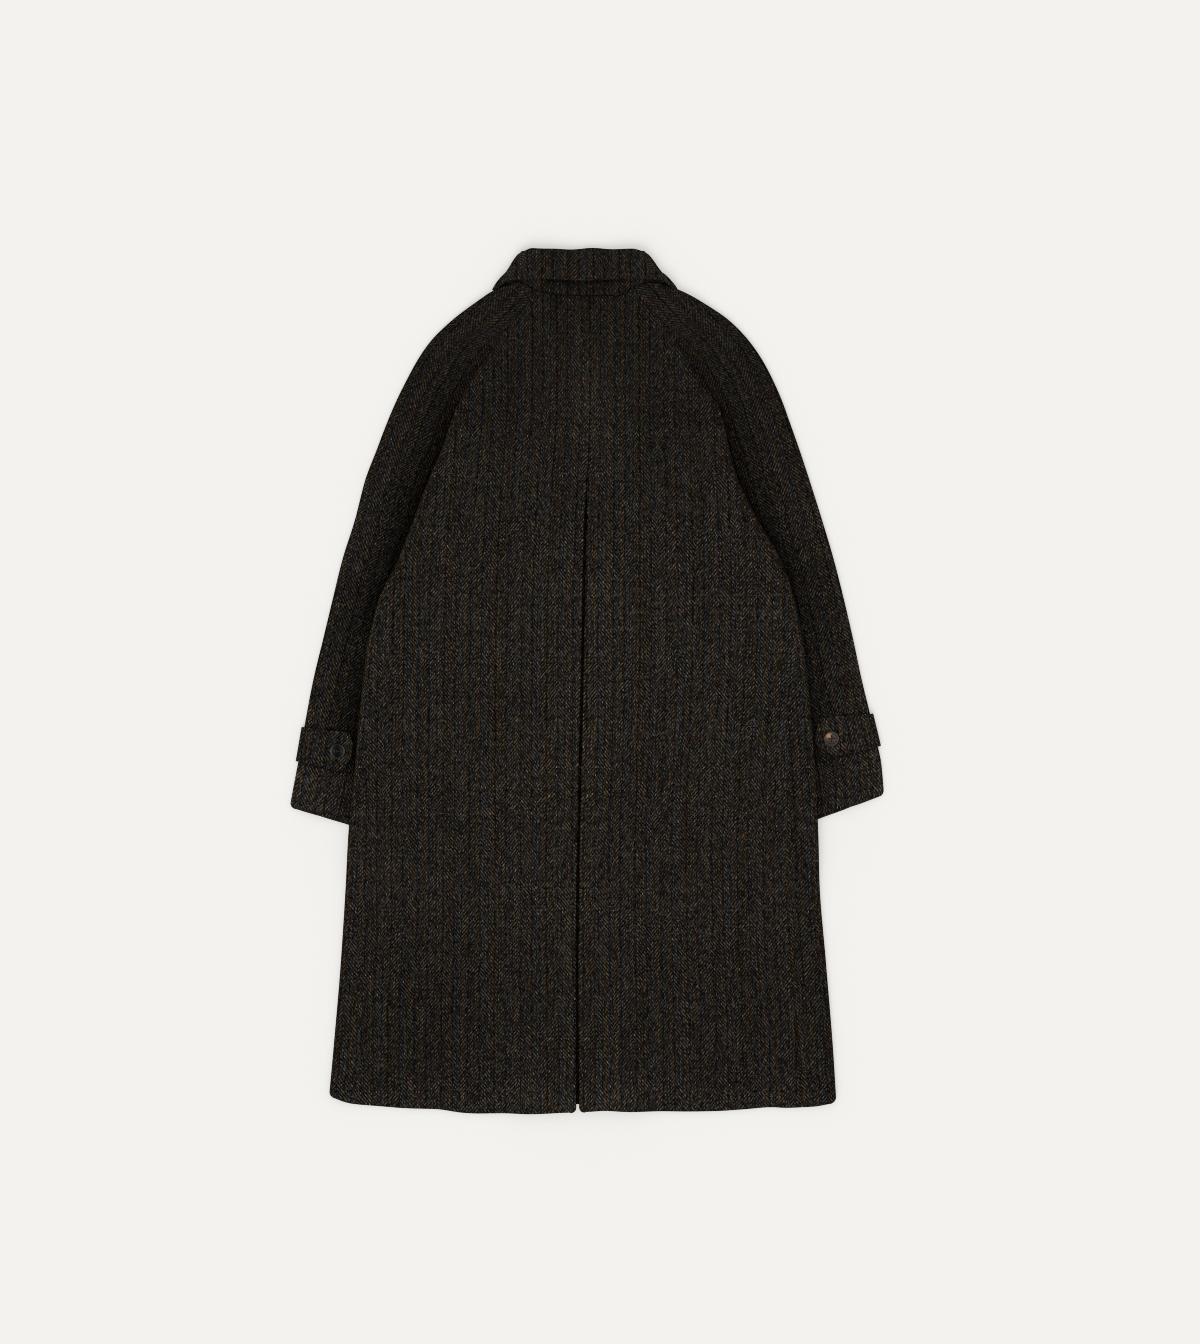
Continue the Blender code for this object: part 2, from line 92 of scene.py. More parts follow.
# Cloth and how its layers lie on each other
cloth = {
    "thick": 1.8,
    "pitch": 2.8,        # from the middle of one layer to the next
    "floor": 0.9,        # middle of the layer on the surface
    "seamGap": 0.3,
    "rollRadius": 1.4,
    "seamDip": 0.55,     # cloth turns down into a seam
    "seamDipWidth": 2.6,
    "seamRidge": 0.45,   # and stands up over the seam allowance
    "seamRidgeTop": 4,
    "seamRidgeWidth": 13,
    "edgeRound": 0.55,
}

body = {
    # height, left edge, right edge: side fold up to the armpit, then the raglan seam
    "edge": [
        (-560, -346, 335), (-480, -339, 330), (-375, -330, 321), (-270, -323, 312), (-200, -319, 310),
        (-120, -311, 306), (-40, -304, 300), (40, -295, 291), (105, -280, 279), (160, -254, 261),
        (220, -231, 227), (270, -212, 203), (320, -191, 189), (356, -179, 181), (372, -172, 174),
        (396, -159, 154), (420, -143, 138), (444, -125.5, 124), (468, -110, 112), (490, -93, 93),
        (508, -79, 75), (527, -77, 63),
    ],
    # side seam on the back, inwards from the side fold
    "sideSeam": [
        (-570, 38, 46), (-360, 22, 47), (-180, 13, 41), (-50, 12, 31), (60, 7, 8), (120, 7, 7),
    ],
    "hem": [
        (-347, -553), (-341, -557), (-332, -561.6), (-325, -564.2), (-312, -567), (-277, -570.1),
        (-240, -572.9), (-202, -574), (-165, -579), (-146, -579.9), (-108, -579.4), (-80, -580.1),
        (-33, -578.1), (4, -576.6), (23, -575.5), (60, -577.1), (98, -576.8), (136, -577.2),
        (173, -576.6), (211, -574.2),
        (248, -571.4), (267, -572.3), (290, -571.4), (305, -570.4), (324, -566.8), (335, -562.5),
    ],
    "neck": [
        (-93, 537), (-77, 527), (-60, 520), (-40, 517), (0, 516), (45, 516), (63, 527), (90, 537),
    ],
    "neckFront": [(0, 449), (27, 454), (44, 463), (58, 500), (62.5, 527), (77, 527)],
    # inner edge of each sleeve, under the body
    "underarm": [
        (-216, -243, 240), (-100, -212, 210), (20, -180, 180), (130, -152, 153), (250, -128, 130),
        (310, -134, 136), (345, -170, 172), (356, -179, 181),
    ],
    "armpit": 356,
    "hemSide": -553,
    "hemBendFrom": -250,
    "neckSide": 527,
    "neckBendFrom": 330,
    "frontOverlap": 48,
    "frontHemRise": 14,
    "frontRiseFrom": -350,
    "frontRiseX": (0, 0.6),
    "sideFoldReach": 3.8,
    "hemCorner": {"left": 3.5, "right": 5},   # the side folds are rounded off at the hem
    "hemRows": (0, 0.3, 0.8, 1.6, 2.7, 4.2, 6.2, 9),   # rows close to the hem
    "panelInset": 5,     # up to here the columns beside a seam are finer
    "panelColumns": 54,
    "backStep": 6,       # from row to row
    "frontStep": 8,
}
bodyEdge = pair(body["edge"])
sideSeam = pair(body["sideSeam"])
underarm = pair(body["underarm"])
hemLine = curve(body["hem"])
neckLine = curve(body["neck"])
neckFront = curve(body["neckFront"])

pleat = {
    "line": [(-567, -12), (-402, -13), (66, -5), (169, -3), (268, 0)],
    "top": 268,
    "depth": 58,
    "slit": 3.8,
    "opens": 55,
    "corner": 6,         # the folds are rounded off at the hem
    "underlayHalf": 54,
    "underlayHem": -567,
    # painted shade: the underlay and the pleat's returns are painted dark, as the shadow in the slit
    "underlayTone": 0.35,
}
pleatLine = curve(pleat["line"])

# Where one layer lifts another: the place it starts from and the place where it is whole
layers = {
    "collarY": (340, 392),   # the collar's front lies under the fronts and the sleeves' tops
    "collarX": (178, 128),
    "armTop": (400, 345),    # the body lies over the inner half of both sleeves
    "armCuff": (-290, -224),
    "armEdge": (100, 10),
    "overlapX": (100, body["frontOverlap"]),   # the right front lies over the left one
    "overlapTop": (505, 465),
    "frontsX": (105, body["frontOverlap"] + 2),
    "pleatX": (120, 62),
    "pleatTop": (430, pleat["top"] + 8),
    "neckX": (60, 15),       # the back sinks a layer at the neck
    "neckY": (490, 530),
    "foldLoft": 1.6,         # and stands up along the side fold
    "foldX": (60, 0),
    "foldTop": (372, 320),
}

# How the back drapes over what is under it
drape = {
    # height, how far the side fold rolls up beside the sleeve
    "sideRoll": [
        (-570, 1.0), (-330, 1.6), (-225, 3.2), (-100, 4.6), (60, 5.6), (240, 5.4), (310, 3.6), (372, 0),
    ],
    "rollWidth": 56,
    "rollTop": 12,
    "rollDip": 0.3,      # past its top the roll falls by this share
    "rollEnd": -4,
    "broadRipple": 0.22,
    "fineRipple": 0.12,
    # x and y of both ends, half width, height
    "creases": [
        (-2, 430, -1, 280, 22, 1.5),
        (-172, 338, -118, 250, 26, 1.7),
        (-196, 214, -122, 108, 26, 1.5),
        (-156, 230, -98, 168, 17, -0.5),
        (-116, 408, -98, 340, 46, -0.45),
        (168, 340, 130, 286, 24, 1.6),
        (130, 286, 108, 178, 26, 1.5),
        (92, 372, 80, 318, 34, -0.4),
        (28, 190, 22, 20, 24, 0.9),
        (-44, 60, -46, -230, 30, 0.9),
        (-238, -20, -262, -520, 48, 1.1),
        (-118, -240, -124, -560, 38, 0.8),
        (188, -30, 214, -530, 52, 1.2),
        (104, -190, 118, -560, 40, 0.8),
        (-72, -553, -26, -551, 24, 1.5),
        (14, -550, 66, -550, 26, 1.8),
        (-330, -545, -250, -556, 26, 0.9),
        (196, -556, 316, -548, 26, 1.0),
    ],
    "yokeLine": 437,     # edge of the inner yoke, which shows through
    "yokeStep": 0.6,
    "hemLine": 34,       # depth of the turned hem
    "hemStep": 0.55,
    "stepRun": (4, 3),   # before and after either line
    "quietHem": (0, 22),   # creases fade out at the hem and the neck
    "quietTop": (548, 505),
}
sideRoll = curve(drape["sideRoll"])

# Painted light and shade: places on the back and fronts painted lighter or darker where light falls on the
# cloth or shade lies on it
paintedShading = {
    # height and painted tone of the back, darker towards the collar
    "along": [
        (-582, 1.1), (-552, 1.12), (-520, 0.95), (-460, 0.96), (-380, 1.02), (-150, 1.05), (20, 1.08),
        (120, 1.05), (230, 0.97), (330, 0.91), (440, 0.79), (530, 0.73),
    ],
    # x, y, reach in x, reach in y, gain
    "spots": [
        (-112, 378, 72, 62, -0.14),
        (112, 358, 64, 60, -0.12),
        (2, 388, 18, 66, 0.34),
        (20, 300, 26, 52, 0.18),
        (28, 96, 26, 80, 0.2),
        (-8, -70, 48, 280, 0.17),
        (-126, 196, 30, 44, -0.12),
        (-206, -425, 118, 120, -0.14),
        (226, -380, 110, 150, -0.06),
        (90, -20, 26, 70, 0.12),
        (205, 60, 36, 70, 0.08),
        (-18, -310, 30, 130, 0.1),
        (-56, -552, 46, 26, 0.2),
        (40, -550, 44, 28, 0.4),
        (-288, 46, 16, 36, 0.26),
        (290, 40, 18, 60, 0.34),
        (299, -180, 15, 60, 0.2),
    ],
    "fade": 1.4,
    "farthest": 5,
}
paintedShadingAlong = curve(paintedShading["along"])


# Painted light and shade at a point of the back or a front
def paintedShadingTone(x, y):
    tone = paintedShadingAlong(y)
    for middleX, middleY, reachX, reachY, gain in paintedShading["spots"]:
        away = ((x - middleX) / reachX) ** 2 + ((y - middleY) / reachY) ** 2
        if away < paintedShading["farthest"]:
            tone += gain * math.exp(-paintedShading["fade"] * away)
    return tone


def creaseRise(creases, x, y):
    # Soft ridges and hollows along straight runs, fading at both ends
    rise = 0
    for startX, startY, endX, endY, half, height in creases:
        runX = endX - startX
        runY = endY - startY
        share = ((x - startX) * runX + (y - startY) * runY) / (runX * runX + runY * runY)
        share = min(1, max(0, share))
        away = math.hypot(x - startX - share * runX, y - startY - share * runY)
        if away < half:
            uneven = 0.8 + 0.2 * math.sin(5 * share + height)
            rise += height * uneven * ease(half, 0, away)
    return rise


def ripple(x, y):
    # The cloth never lies quite flat
    broad = math.sin(x / 34 + 1.3 * math.sin(y / 97)) * math.sin(y / 71 + 0.8)
    fine = math.sin(x / 19 - y / 43) * math.sin(y / 131 + x / 58)
    return drape["broadRipple"] * broad + drape["fineRipple"] * fine


def collarLift(x, y):
    return cloth["pitch"] * ease(*layers["collarY"], y) * ease(*layers["collarX"], abs(x))


def sleeveLift(x, y):
    overArm = ease(*layers["armTop"], y) * ease(*layers["armCuff"], y)
    left = ease(*layers["armEdge"], x - underarm["left"](y))
    right = ease(*layers["armEdge"], underarm["right"](y) - x)
    return 2 * cloth["pitch"] * overArm * max(left, right)


def frontLevel(side, x, y):
    crosses = ease(*layers["overlapX"], x) * ease(*layers["overlapTop"], y)
    overlap = cloth["pitch"] * crosses if side == "right" else 0
    return cloth["floor"] + collarLift(x, y) + sleeveLift(x, y) + overlap


def fromSideFold(x, y):
    side = "left" if x < 0 else "right"
    return abs(bodyEdge[side](y)) - abs(x)


def backLevel(x, y):
    pitch = cloth["pitch"]
    overFronts = pitch * ease(*layers["frontsX"], abs(x)) * ease(*layers["overlapTop"], y)
    overPleat = 2 * pitch * ease(*layers["pleatX"], abs(x - pleatLine(y))) * ease(*layers["pleatTop"], y)
    neckSag = pitch * ease(*layers["neckX"], abs(x)) * ease(*layers["neckY"], y)
    foldLoft = layers["foldLoft"] * ease(*layers["foldX"], fromSideFold(x, y)) * ease(*layers["foldTop"], y)
    lifts = collarLift(x, y) + sleeveLift(x, y) + overFronts + overPleat + foldLoft
    return cloth["floor"] + pitch + lifts - neckSag


def drapeRise(x, y):
    fromFold = fromSideFold(x, y)
    top = drape["rollTop"]
    dip = drape["rollDip"] * ease(top, drape["rollEnd"], fromFold)
    roll = sideRoll(y) * ease(drape["rollWidth"], top, fromFold) * (1 - dip)
    before, after = drape["stepRun"]
    yoke = drape["yokeStep"] * ease(-before, after, y - drape["yokeLine"])
    fromHem = y - hemLine(x)
    hem = drape["hemStep"] * ease(before, -after, fromHem - drape["hemLine"])
    quiet = ease(*drape["quietHem"], fromHem) * ease(*drape["quietTop"], y)
    return roll + hem + (creaseRise(drape["creases"], x, y) + yoke + ripple(x, y)) * quiet


def topLevel(x, y):
    return backLevel(x, y) + drapeRise(x, y)


def seamForm(away):
    dip = cloth["seamDip"] * max(0, 1 - away / cloth["seamDipWidth"]) ** 2
    top = cloth["seamRidgeTop"]
    ridge = cloth["seamRidge"] * ease(0, top, away) * ease(cloth["seamRidgeWidth"], top, away)
    return ridge - dip


# Sheets of cloth: columns run across the cut and rows along it

def stations(part, amounts):
    return [(part, amount) for amount in amounts]


def activate(*objs):
    bpy.ops.object.select_all(action="DESELECT")
    for obj in objs:
        obj.select_set(True)
    bpy.context.view_layer.objects.active = objs[0]


def roundEdges(obj, width, segments, sharp):
    rounding = obj.modifiers.new("rounding", "BEVEL")
    rounding.width = width * mm
    rounding.segments = segments
    rounding.limit_method = "ANGLE"
    rounding.angle_limit = math.radians(sharp)
    bpy.ops.object.modifier_apply(modifier="rounding")


def makeSheet(name, columns, rows, place, thick, keep=None):
    form = bmesh.new()
    grainLayer = form.loops.layers.uv.new("grain")
    toneLayer = form.verts.layers.float.new("tone")
    grain = {}
    grid = []
    for row in rows:
        line = []
        for column in columns:
            x, y, z, across, along, tone = place(column, row)
            vert = form.verts.new((x * mm, y * mm, z * mm))
            vert[toneLayer] = tone
            grain[vert] = (across * mm, along * mm)
            line.append(vert)
        grid.append(line)
    for j in range(len(rows) - 1):
        for k in range(len(columns) - 1):
            if keep and not keep(k, j):
                continue
            face = form.faces.new((grid[j][k], grid[j][k + 1], grid[j + 1][k + 1], grid[j + 1][k]))
            for loop in face.loops:
                loop[grainLayer].uv = grain[loop.vert]
    loose = [vert for vert in form.verts if not vert.link_faces]
    bmesh.ops.delete(form, geom=loose, context="VERTS")
    area = sum(face.calc_area() for face in form.faces)
    mesh = bpy.data.meshes.new(name)
    form.to_mesh(mesh)
    form.free()
    obj = bpy.data.objects.new(name, mesh)
    scene.collection.objects.link(obj)
    activate(obj)
    wall = obj.modifiers.new("wall", "SOLIDIFY")
    wall.thickness = thick * mm
    wall.offset = 0
    wall.use_even_offset = True
    wall.use_quality_normals = True
    bpy.ops.object.modifier_apply(modifier="wall")
    roundEdges(obj, cloth["edgeRound"], 2, 60)
    bpy.ops.object.shade_smooth_by_angle(angle=math.radians(50))
    print(f"{name}: {len(obj.data.polygons)} faces, cloth of {area:.4f} square metres")
    return obj


# Tweed: coloured warp over a dark weft, woven in herringbone bands
weave = {
    "band": 26.0,
    "endsInBand": 24,
    "pick": 1.35,
    "twill": 4,          # ends and picks in one repeat
    "stripeEnds": 32,
    # warp order of the two stripes that take turns: first end and its yarn
    "firstStripe": [
        (0, "black"), (1, "navy"), (2, "slate"), (4, "brown"), (5, "umber"), (6, "taupe"), (9, "umber"),
        (10, "brown"), (11, "tan"), (13, "rust"), (15, "tan"), (16, "slate"), (18, "navy"), (19, "black"),
        (20, "amber"), (22, "mouse"), (24, "tan"), (25, "amber"), (26, "mouse"), (27, "taupe"), (28, "tan"),
        (29, "rust"), (31, "amber"),
    ],
    "secondStripe": [
        (0, "black"), (1, "navy"), (2, "slate"), (4, "taupe"), (6, "umber"), (7, "tan"), (9, "brown"),
        (10, "umber"), (11, "mouse"), (12, "ash"), (14, "brown"), (15, "rust"), (17, "amber"), (18, "black"),
        (20, "amber"), (21, "tan"), (22, "taupe"), (23, "umber"), (24, "amber"), (25, "tan"), (26, "mouse"),
        (27, "umber"), (28, "rust"), (30, "amber"), (31, "brown"),
    ],
    "yarns": {
        "black": (0.0114, 0.0107, 0.0098),
        "navy": (0.0152, 0.0167, 0.0184),
        "slate": (0.0327, 0.0345, 0.0364),
        "ash": (0.0444, 0.0452, 0.0464),
        "mouse": (0.0280, 0.0263, 0.0243),
        "umber": (0.0223, 0.0197, 0.0170),
        "brown": (0.0353, 0.0296, 0.0234),
        "taupe": (0.0409, 0.0376, 0.0337),
        "tan": (0.0494, 0.0378, 0.0268),
        "amber": (0.0375, 0.0271, 0.0173),
        "rust": (0.0561, 0.0344, 0.0173),
    },
    "weft": (0.0100, 0.0085, 0.0072),
    "pale": (0.044, 0.040, 0.0325),   # bright floats fade to it
    "paleMix": 0.4,
    # share of the random flecks up to which each colour holds
    "flecks": [
        (0.0, (0.108, 0.096, 0.076)), (0.4, (0.112, 0.062, 0.020)), (0.56, (0.096, 0.068, 0.020)),
        (0.74, (0.036, 0.046, 0.056)), (0.84, (0.054, 0.060, 0.027)), (0.93, (0.088, 0.032, 0.017)),
    ],
    "fleckFrom": 0.95,
    "fleckMix": (0.24, 0.6),   # on the weft and on the warp
    "floatGain": (0.29, 1.96),   # a float's random gain
    "warm": (0.58, 0.05, -1.45),
    "tint": (0.28, 0.3),   # its random tint, warm to cool and then at large
    "tintDrift": (0.3, 0.32),   # tint that changes slowly along a yarn
    "tintScale": (5.3, 0.11),   # how fast from end to end and from pick to pick
    "paleTint": (1.5, 0.3),   # strength of the tint on dark and on light floats
    "fibre": (0.45, 1.55),
    "fibreScale": (1500, 800, 1),
    "fibreRelief": 0.35,
    "slub": (0.4, 1.6),   # thick and thin places in the yarn
    "slubScale": (330, 230, 1),
    "streak": (0.4, 1.6),   # one end against the next
    "streakScale": (3.7, 0.012),
    "cloud": (0.8, 1.2),
    "cloudScale": 38,
    "even": 0.55,        # tone of a stripe with warp and weft taken together
    "soften": (0.22, 0.5, 0.19),   # from one height to another the stripes even out up to this share
    "gapShade": (0.35, 1.1),   # between the yarns and on their crowns
    "crown": (0.55, 1),
    "wander": 0.0022,
    "wanderScale": 24,
    "bump": 0.45,
    "bumpDepth": 0.0005,
    "surface": {
        "Roughness": 0.92,
        "Specular IOR Level": 0.006,
        "Sheen Weight": 0.002,
        "Sheen Roughness": 0.5,
        "Sheen Tint": (0.72, 0.66, 0.58, 1),
    },
}


def wire(socket, value):
    if isinstance(value, bpy.types.NodeSocket):
        socket.id_data.links.new(value, socket)
    else:
        socket.default_value = value


def addNode(kind, *values, **settings):
    # A node in the tree that its values come from, with the values on its first inputs
    tree = next(value.id_data for value in values if isinstance(value, bpy.types.NodeSocket))
    node = tree.nodes.new(f"ShaderNode{kind}")
    for name, setting in settings.items():
        setattr(node, name, setting)
    for socket, value in zip(node.inputs, values):
        wire(socket, value)
    return node


def calc(operation, *values):
    return addNode("Math", *values, operation=operation).outputs[0]


def plus(first, second):
    return calc("ADD", first, second)


def minus(first, second):
    return calc("SUBTRACT", first, second)


def times(first, second):
    return calc("MULTIPLY", first, second)


def choose(isFirst, first, second):
    return plus(times(minus(first, second), isFirst), second)


def spread(value, low, high):
    # Brings a value from 0..1 to low..high
    return calc("MULTIPLY_ADD", value, high - low, low)


def vectorCalc(operation, *values):
    return addNode("VectorMath", *values, operation=operation).outputs[0]


def scaled(colour, gain):
    unused = (0, 0, 0)
    return vectorCalc("SCALE", colour, unused, unused, gain)


def split(vector):
    return addNode("SeparateXYZ", vector).outputs


def join(*values):
    return addNode("CombineXYZ", *values).outputs[0]


def blendColour(share, first, second):
    node = addNode("Mix", share, data_type="RGBA")
    wire(node.inputs[6], first)
    wire(node.inputs[7], second)
    return node.outputs[2]


def noise(vector, scale, detail):
    node = addNode("TexNoise", vector)
    node.inputs["Scale"].default_value = scale
    node.inputs["Detail"].default_value = detail
    return node


def ramp(value, rows, interpolation):
    node = addNode("ValToRGB", value)
    stops = node.color_ramp.elements
    node.color_ramp.interpolation = interpolation
    for k, (start, colour) in enumerate(rows):
        stop = stops[k] if k < 1 else stops.new(start)
        stop.position = start
        stop.color = (*colour, 1)
    stops.remove(stops[len(rows)])
    return node.outputs[0]


def newMaterial(name, settings):
    material = bpy.data.materials.new(name)
    material.use_nodes = True
    nodes = material.node_tree.nodes
    surface = nodes["Principled BSDF"].inputs
    for socket, value in settings.items():
        surface[socket].default_value = value
    return material, nodes, surface


def objectSpace(nodes):
    return nodes.new("ShaderNodeTexCoord").outputs["Object"]


def makeTweed(name):
    material, nodes, surface = newMaterial(name, weave["surface"])
    uv = nodes.new("ShaderNodeUVMap")
    uv.uv_map = "grain"
    cut = uv.outputs[0]
    drift = vectorCalc("SUBTRACT", noise(cut, weave["wanderScale"], 2).outputs[1], (0.5, 0.5, 0.5))
    grain = vectorCalc("ADD", cut, scaled(drift, weave["wander"]))
    acrossAt, alongAt = split(grain)[:2]
    ends = weave["endsInBand"]
    endAt = times(acrossAt, ends / (weave["band"] * mm))
    pickAt = calc("DIVIDE", alongAt, weave["pick"] * mm)
    end = calc("FLOOR", endAt)
    endPart = calc("FRACT", endAt)
    pick = calc("FLOOR", pickAt)
    pickPart = calc("FRACT", pickAt)
    # The twill turns back at each band, with the usual break of half a repeat
    repeat = weave["twill"]
    middle = plus(end, 0.5)
    zigzag = calc("PINGPONG", middle, ends)
    bandIndex = calc("FLOOR", calc("DIVIDE", middle, ends))
    turn = times(calc("FRACT", times(bandIndex, 0.5)), repeat)
    twill = calc("DIVIDE", plus(plus(zigzag, turn), pick), repeat)
    phase = calc("FRACT", twill)
    warpUp = calc("LESS_THAN", phase, 0.5)
    # Random values for each float of yarn
    cell = join(choose(warpUp, end, pick), calc("FLOOR", twill), warpUp)
    dice = split(addNode("TexWhiteNoise", cell).outputs["Color"])
    # Round yarns with a crown on each float
    across = choose(warpUp, endPart, pickPart)
    roundness = times(times(across, minus(1, across)), 4)
    lengthwise = plus(times(minus(pickPart, 0.5), 1 / repeat), phase)
    crown = calc("ABSOLUTE", calc("SINE", times(lengthwise, 2 * math.pi)))
    height = times(roundness, spread(crown, *weave["crown"]))
    fibre = noise(vectorCalc("MULTIPLY", grain, weave["fibreScale"]), 1, 3).outputs[0]
    # Colour of the yarn: warp stripes, bright floats that fade, and flecks
    stripeAt = calc("DIVIDE", middle, weave["stripeEnds"])
    place = calc("FRACT", stripeAt)
    sorts = []
    for order in (weave["firstStripe"], weave["secondStripe"]):
        rows = [(start / weave["stripeEnds"], weave["yarns"][yarn]) for start, yarn in order]
        sorts.append(ramp(place, rows, "CONSTANT"))
    isSecond = calc("GREATER_THAN", calc("FRACT", times(stripeAt, 0.5)), 0.5)
    stripe = blendColour(isSecond, *sorts)
    faded = times(calc("POWER", dice[0], 4), weave["paleMix"])
    warp = blendColour(faded, stripe, (*weave["pale"], 1))
    colour = blendColour(warpUp, (*weave["weft"], 1), warp)
    fleck = ramp(dice[2], weave["flecks"], "CONSTANT")
    isFleck = calc("GREATER_THAN", dice[1], weave["fleckFrom"])
    colour = blendColour(times(isFleck, spread(warpUp, *weave["fleckMix"])), colour, fleck)
    # Tint of each float, and tint that changes slowly along a yarn
    endScale, pickScale = weave["tintScale"]
    quick = addNode("TexWhiteNoise", cell, 3.5, noise_dimensions="4D")
    slow = noise(join(times(end, endScale), times(pick, pickScale)), 1, 1)
    strength = spread(dice[0], *weave["paleTint"])
    for hue, (warmth, width) in ((quick, weave["tint"]), (slow, weave["tintDrift"])):
        lean = times(minus(hue.outputs[0], 0.5), strength)
        warm = vectorCalc("MULTIPLY_ADD", lean, [warmth * part for part in weave["warm"]], (1, 1, 1))
        colour = vectorCalc("MULTIPLY", colour, warm)
        tint = vectorCalc("MULTIPLY_ADD", hue.outputs["Color"], (width,) * 3, (1 - width / 2,) * 3)
        colour = vectorCalc("MULTIPLY", colour, tint)
    # Light and dark
    endScale, pickScale = weave["streakScale"]
    streak = noise(join(times(end, endScale), times(pick, pickScale)), 1, 1).outputs[0]
    slub = noise(vectorCalc("MULTIPLY", grain, weave["slubScale"]), 1, 1).outputs[0]
    cloud = noise(cut, weave["cloudScale"], 3).outputs[0]
    gain = spread(calc("POWER", dice[0], 1.6), *weave["floatGain"])
    parts = {"gapShade": height, "fibre": fibre, "cloud": cloud, "slub": slub, "streak": streak}
    for part, value in parts.items():
        gain = times(gain, spread(value, *weave[part]))
    softer = addNode("MapRange", split(objectSpace(nodes))[1])
    for socket, value in zip(("From Min", "From Max", "To Max"), weave["soften"]):
        softer.inputs[socket].default_value = value
    woven = blendColour(softer.outputs[0], scaled(colour, gain), scaled(stripe, weave["even"]))
    # The tone attribute paints light and shade into the colour
    tone = nodes.new("ShaderNodeAttribute")
    tone.attribute_name = "tone"
    wire(surface["Base Color"], scaled(woven, tone.outputs["Fac"]))
    relief = nodes.new("ShaderNodeBump")
    relief.inputs["Strength"].default_value = weave["bump"]
    relief.inputs["Distance"].default_value = weave["bumpDepth"]
    wire(relief.inputs["Height"], calc("MULTIPLY_ADD", fibre, weave["fibreRelief"], height))
    wire(surface["Normal"], relief.outputs[0])
    return material


tweed = makeTweed("herringbone tweed")
print("tweed woven:", len(tweed.node_tree.nodes), "nodes")


# Body

grainOfBack = {
    # height, x of a band's edge, width of a band
    "left": [
        (-562, -38.2, 26.8), (-462, -38.6, 26.7), (-321, -40, 26), (-106, -40, 25.9), (109, -38.6, 25.8),
        (377, -26.6, 24.7),
    ],
    "right": [
        (-562, 10.2, 26.8), (-455, 10, 26.65), (-348, 9.6, 26), (-213, 9.6, 25.7), (-106, 12.8, 25.75),
        (0, 14.2, 26.35), (109, 14.2, 26.75), (377, 17.7, 24.7),
    ],
}
bandEdge = {side: curve(rows, 1) for side, rows in grainOfBack.items()}
bandWidth = {side: curve(rows, 2) for side, rows in grainOfBack.items()}


def bodyY(x, height, top):
    hem = (hemLine(x) - body["hemSide"]) * ease(body["hemBendFrom"], body["hemSide"], height)
    neck = min(0, top - body["neckSide"]) * ease(body["neckBendFrom"], body["neckSide"], height)
    return height + hem + neck


def seamX(side, height):
    inset = 0 if height > body["armpit"] else sideSeam[side](height)
    return bodyEdge[side](height) - sides[side] * inset


def cornerInset(radius, away):
    # How far a round corner draws its edge back
    left = max(0, 1 - away / radius)
    return radius * (1 - math.sqrt(1 - left * left))


def bodyRows(size):
    rows = [body["hemSide"] + offset for offset in body["hemRows"]]
    rows += steps(body["hemSide"] + 12, pleat["top"], size)
    rows += steps(pleat["top"], body["armpit"], size)
    rows += steps(body["armpit"], body["neckSide"], size)
    return rows + [body["neckSide"]]


def backPoint(side, station, height):
    part, amount = station
    sign = sides[side]
    radius = cloth["rollRadius"]
    pleated = height <= pleat["top"]
    start = sign * cloth["seamGap"] / 2
    if pleated:
        share = ease(pleat["top"], pleat["top"] - pleat["opens"], height)
        slit = mix(cloth["seamGap"], pleat["slit"], share)
        slit += 2 * cornerInset(pleat["corner"], height - body["hemSide"])
        start = pleatLine(height) + sign * ((slit + cloth["thick"]) / 2 + radius)
    seam = seamX(side, height) - sign * cloth["seamGap"] / 2
    drop = 0
    if part == "seam":
        x = seam - sign * amount
    elif part == "panel":
        x = mix(start + sign * body["panelInset"], seam - sign * body["panelInset"], amount)
    elif part == "middle":
        x = start + sign * amount
    elif part == "fold":
        angle = math.radians(amount)
        x = start - sign * radius * math.cos(angle)
        drop = radius * (1 - math.sin(angle))
    else:
        x = start + sign * amount
        drop = cloth["pitch"]
    y = bodyY(x, height, neckLine(x))
    z = topLevel(x, y) - drop
    if part in ("seam", "panel", "middle"):
        z += seamForm(abs(seam - x))
        if not pleated:
            z += seamForm(abs(x - start))
    across = (x - bandEdge[side](y)) / bandWidth[side](y) * weave["band"]
    shade = ease(*collar["neckShadeY"], neckLine(x) - y) * ease(*collar["neckShadeX"], abs(x))
    tone = paintedShadingTone(x, y) * (1 - collar["neckSeam"] * shade)
    # The pleat's turned-back cloth is painted dark, as painted shade in the slit
    if part == "return" or drop > radius:
        tone = pleat["underlayTone"]
    return x, y, z, across, y, tone


def makeBack(side):
    columns = stations("seam", (0, 0.7, 1.6, 2.8))
    columns += [("panel", 1 - k / body["panelColumns"]) for k in range(body["panelColumns"] + 1)]
    columns += stations("middle", (2.8, 1.6, 0.7, 0))
    panels = len(columns) - 1
    columns += stations("fold", range(60, -91, -30))
    columns += [("return", pleat["depth"] * share) for share in (0.2, 0.4, 0.7, 1)]
    rows = bodyRows(body["backStep"])

    def keep(column, row):
        return column < panels or rows[row] < pleat["top"]

    return makeSheet(f"tweed_back_{side}", columns, rows, partial(backPoint, side), cloth["thick"], keep)


def makeUnderlay():
    columns = [k / 8 * pleat["underlayHalf"] for k in range(-8, 9)]
    rows = steps(pleat["underlayHem"], pleat["top"], 12) + [pleat["top"]]

    def place(offset, height):
        x = pleatLine(height) + offset
        return x, height, backLevel(x, height) - 2 * cloth["pitch"], offset, height, pleat["underlayTone"]

    return makeSheet("tweed_pleat_underlay", columns, rows, place, cloth["thick"])


front = {
    "bandFromFold": {"left": 10, "right": 12},
    # painted shade: the right front's strip is painted darker
    "stripTone": {"left": 1.0, "right": 0.88},
}


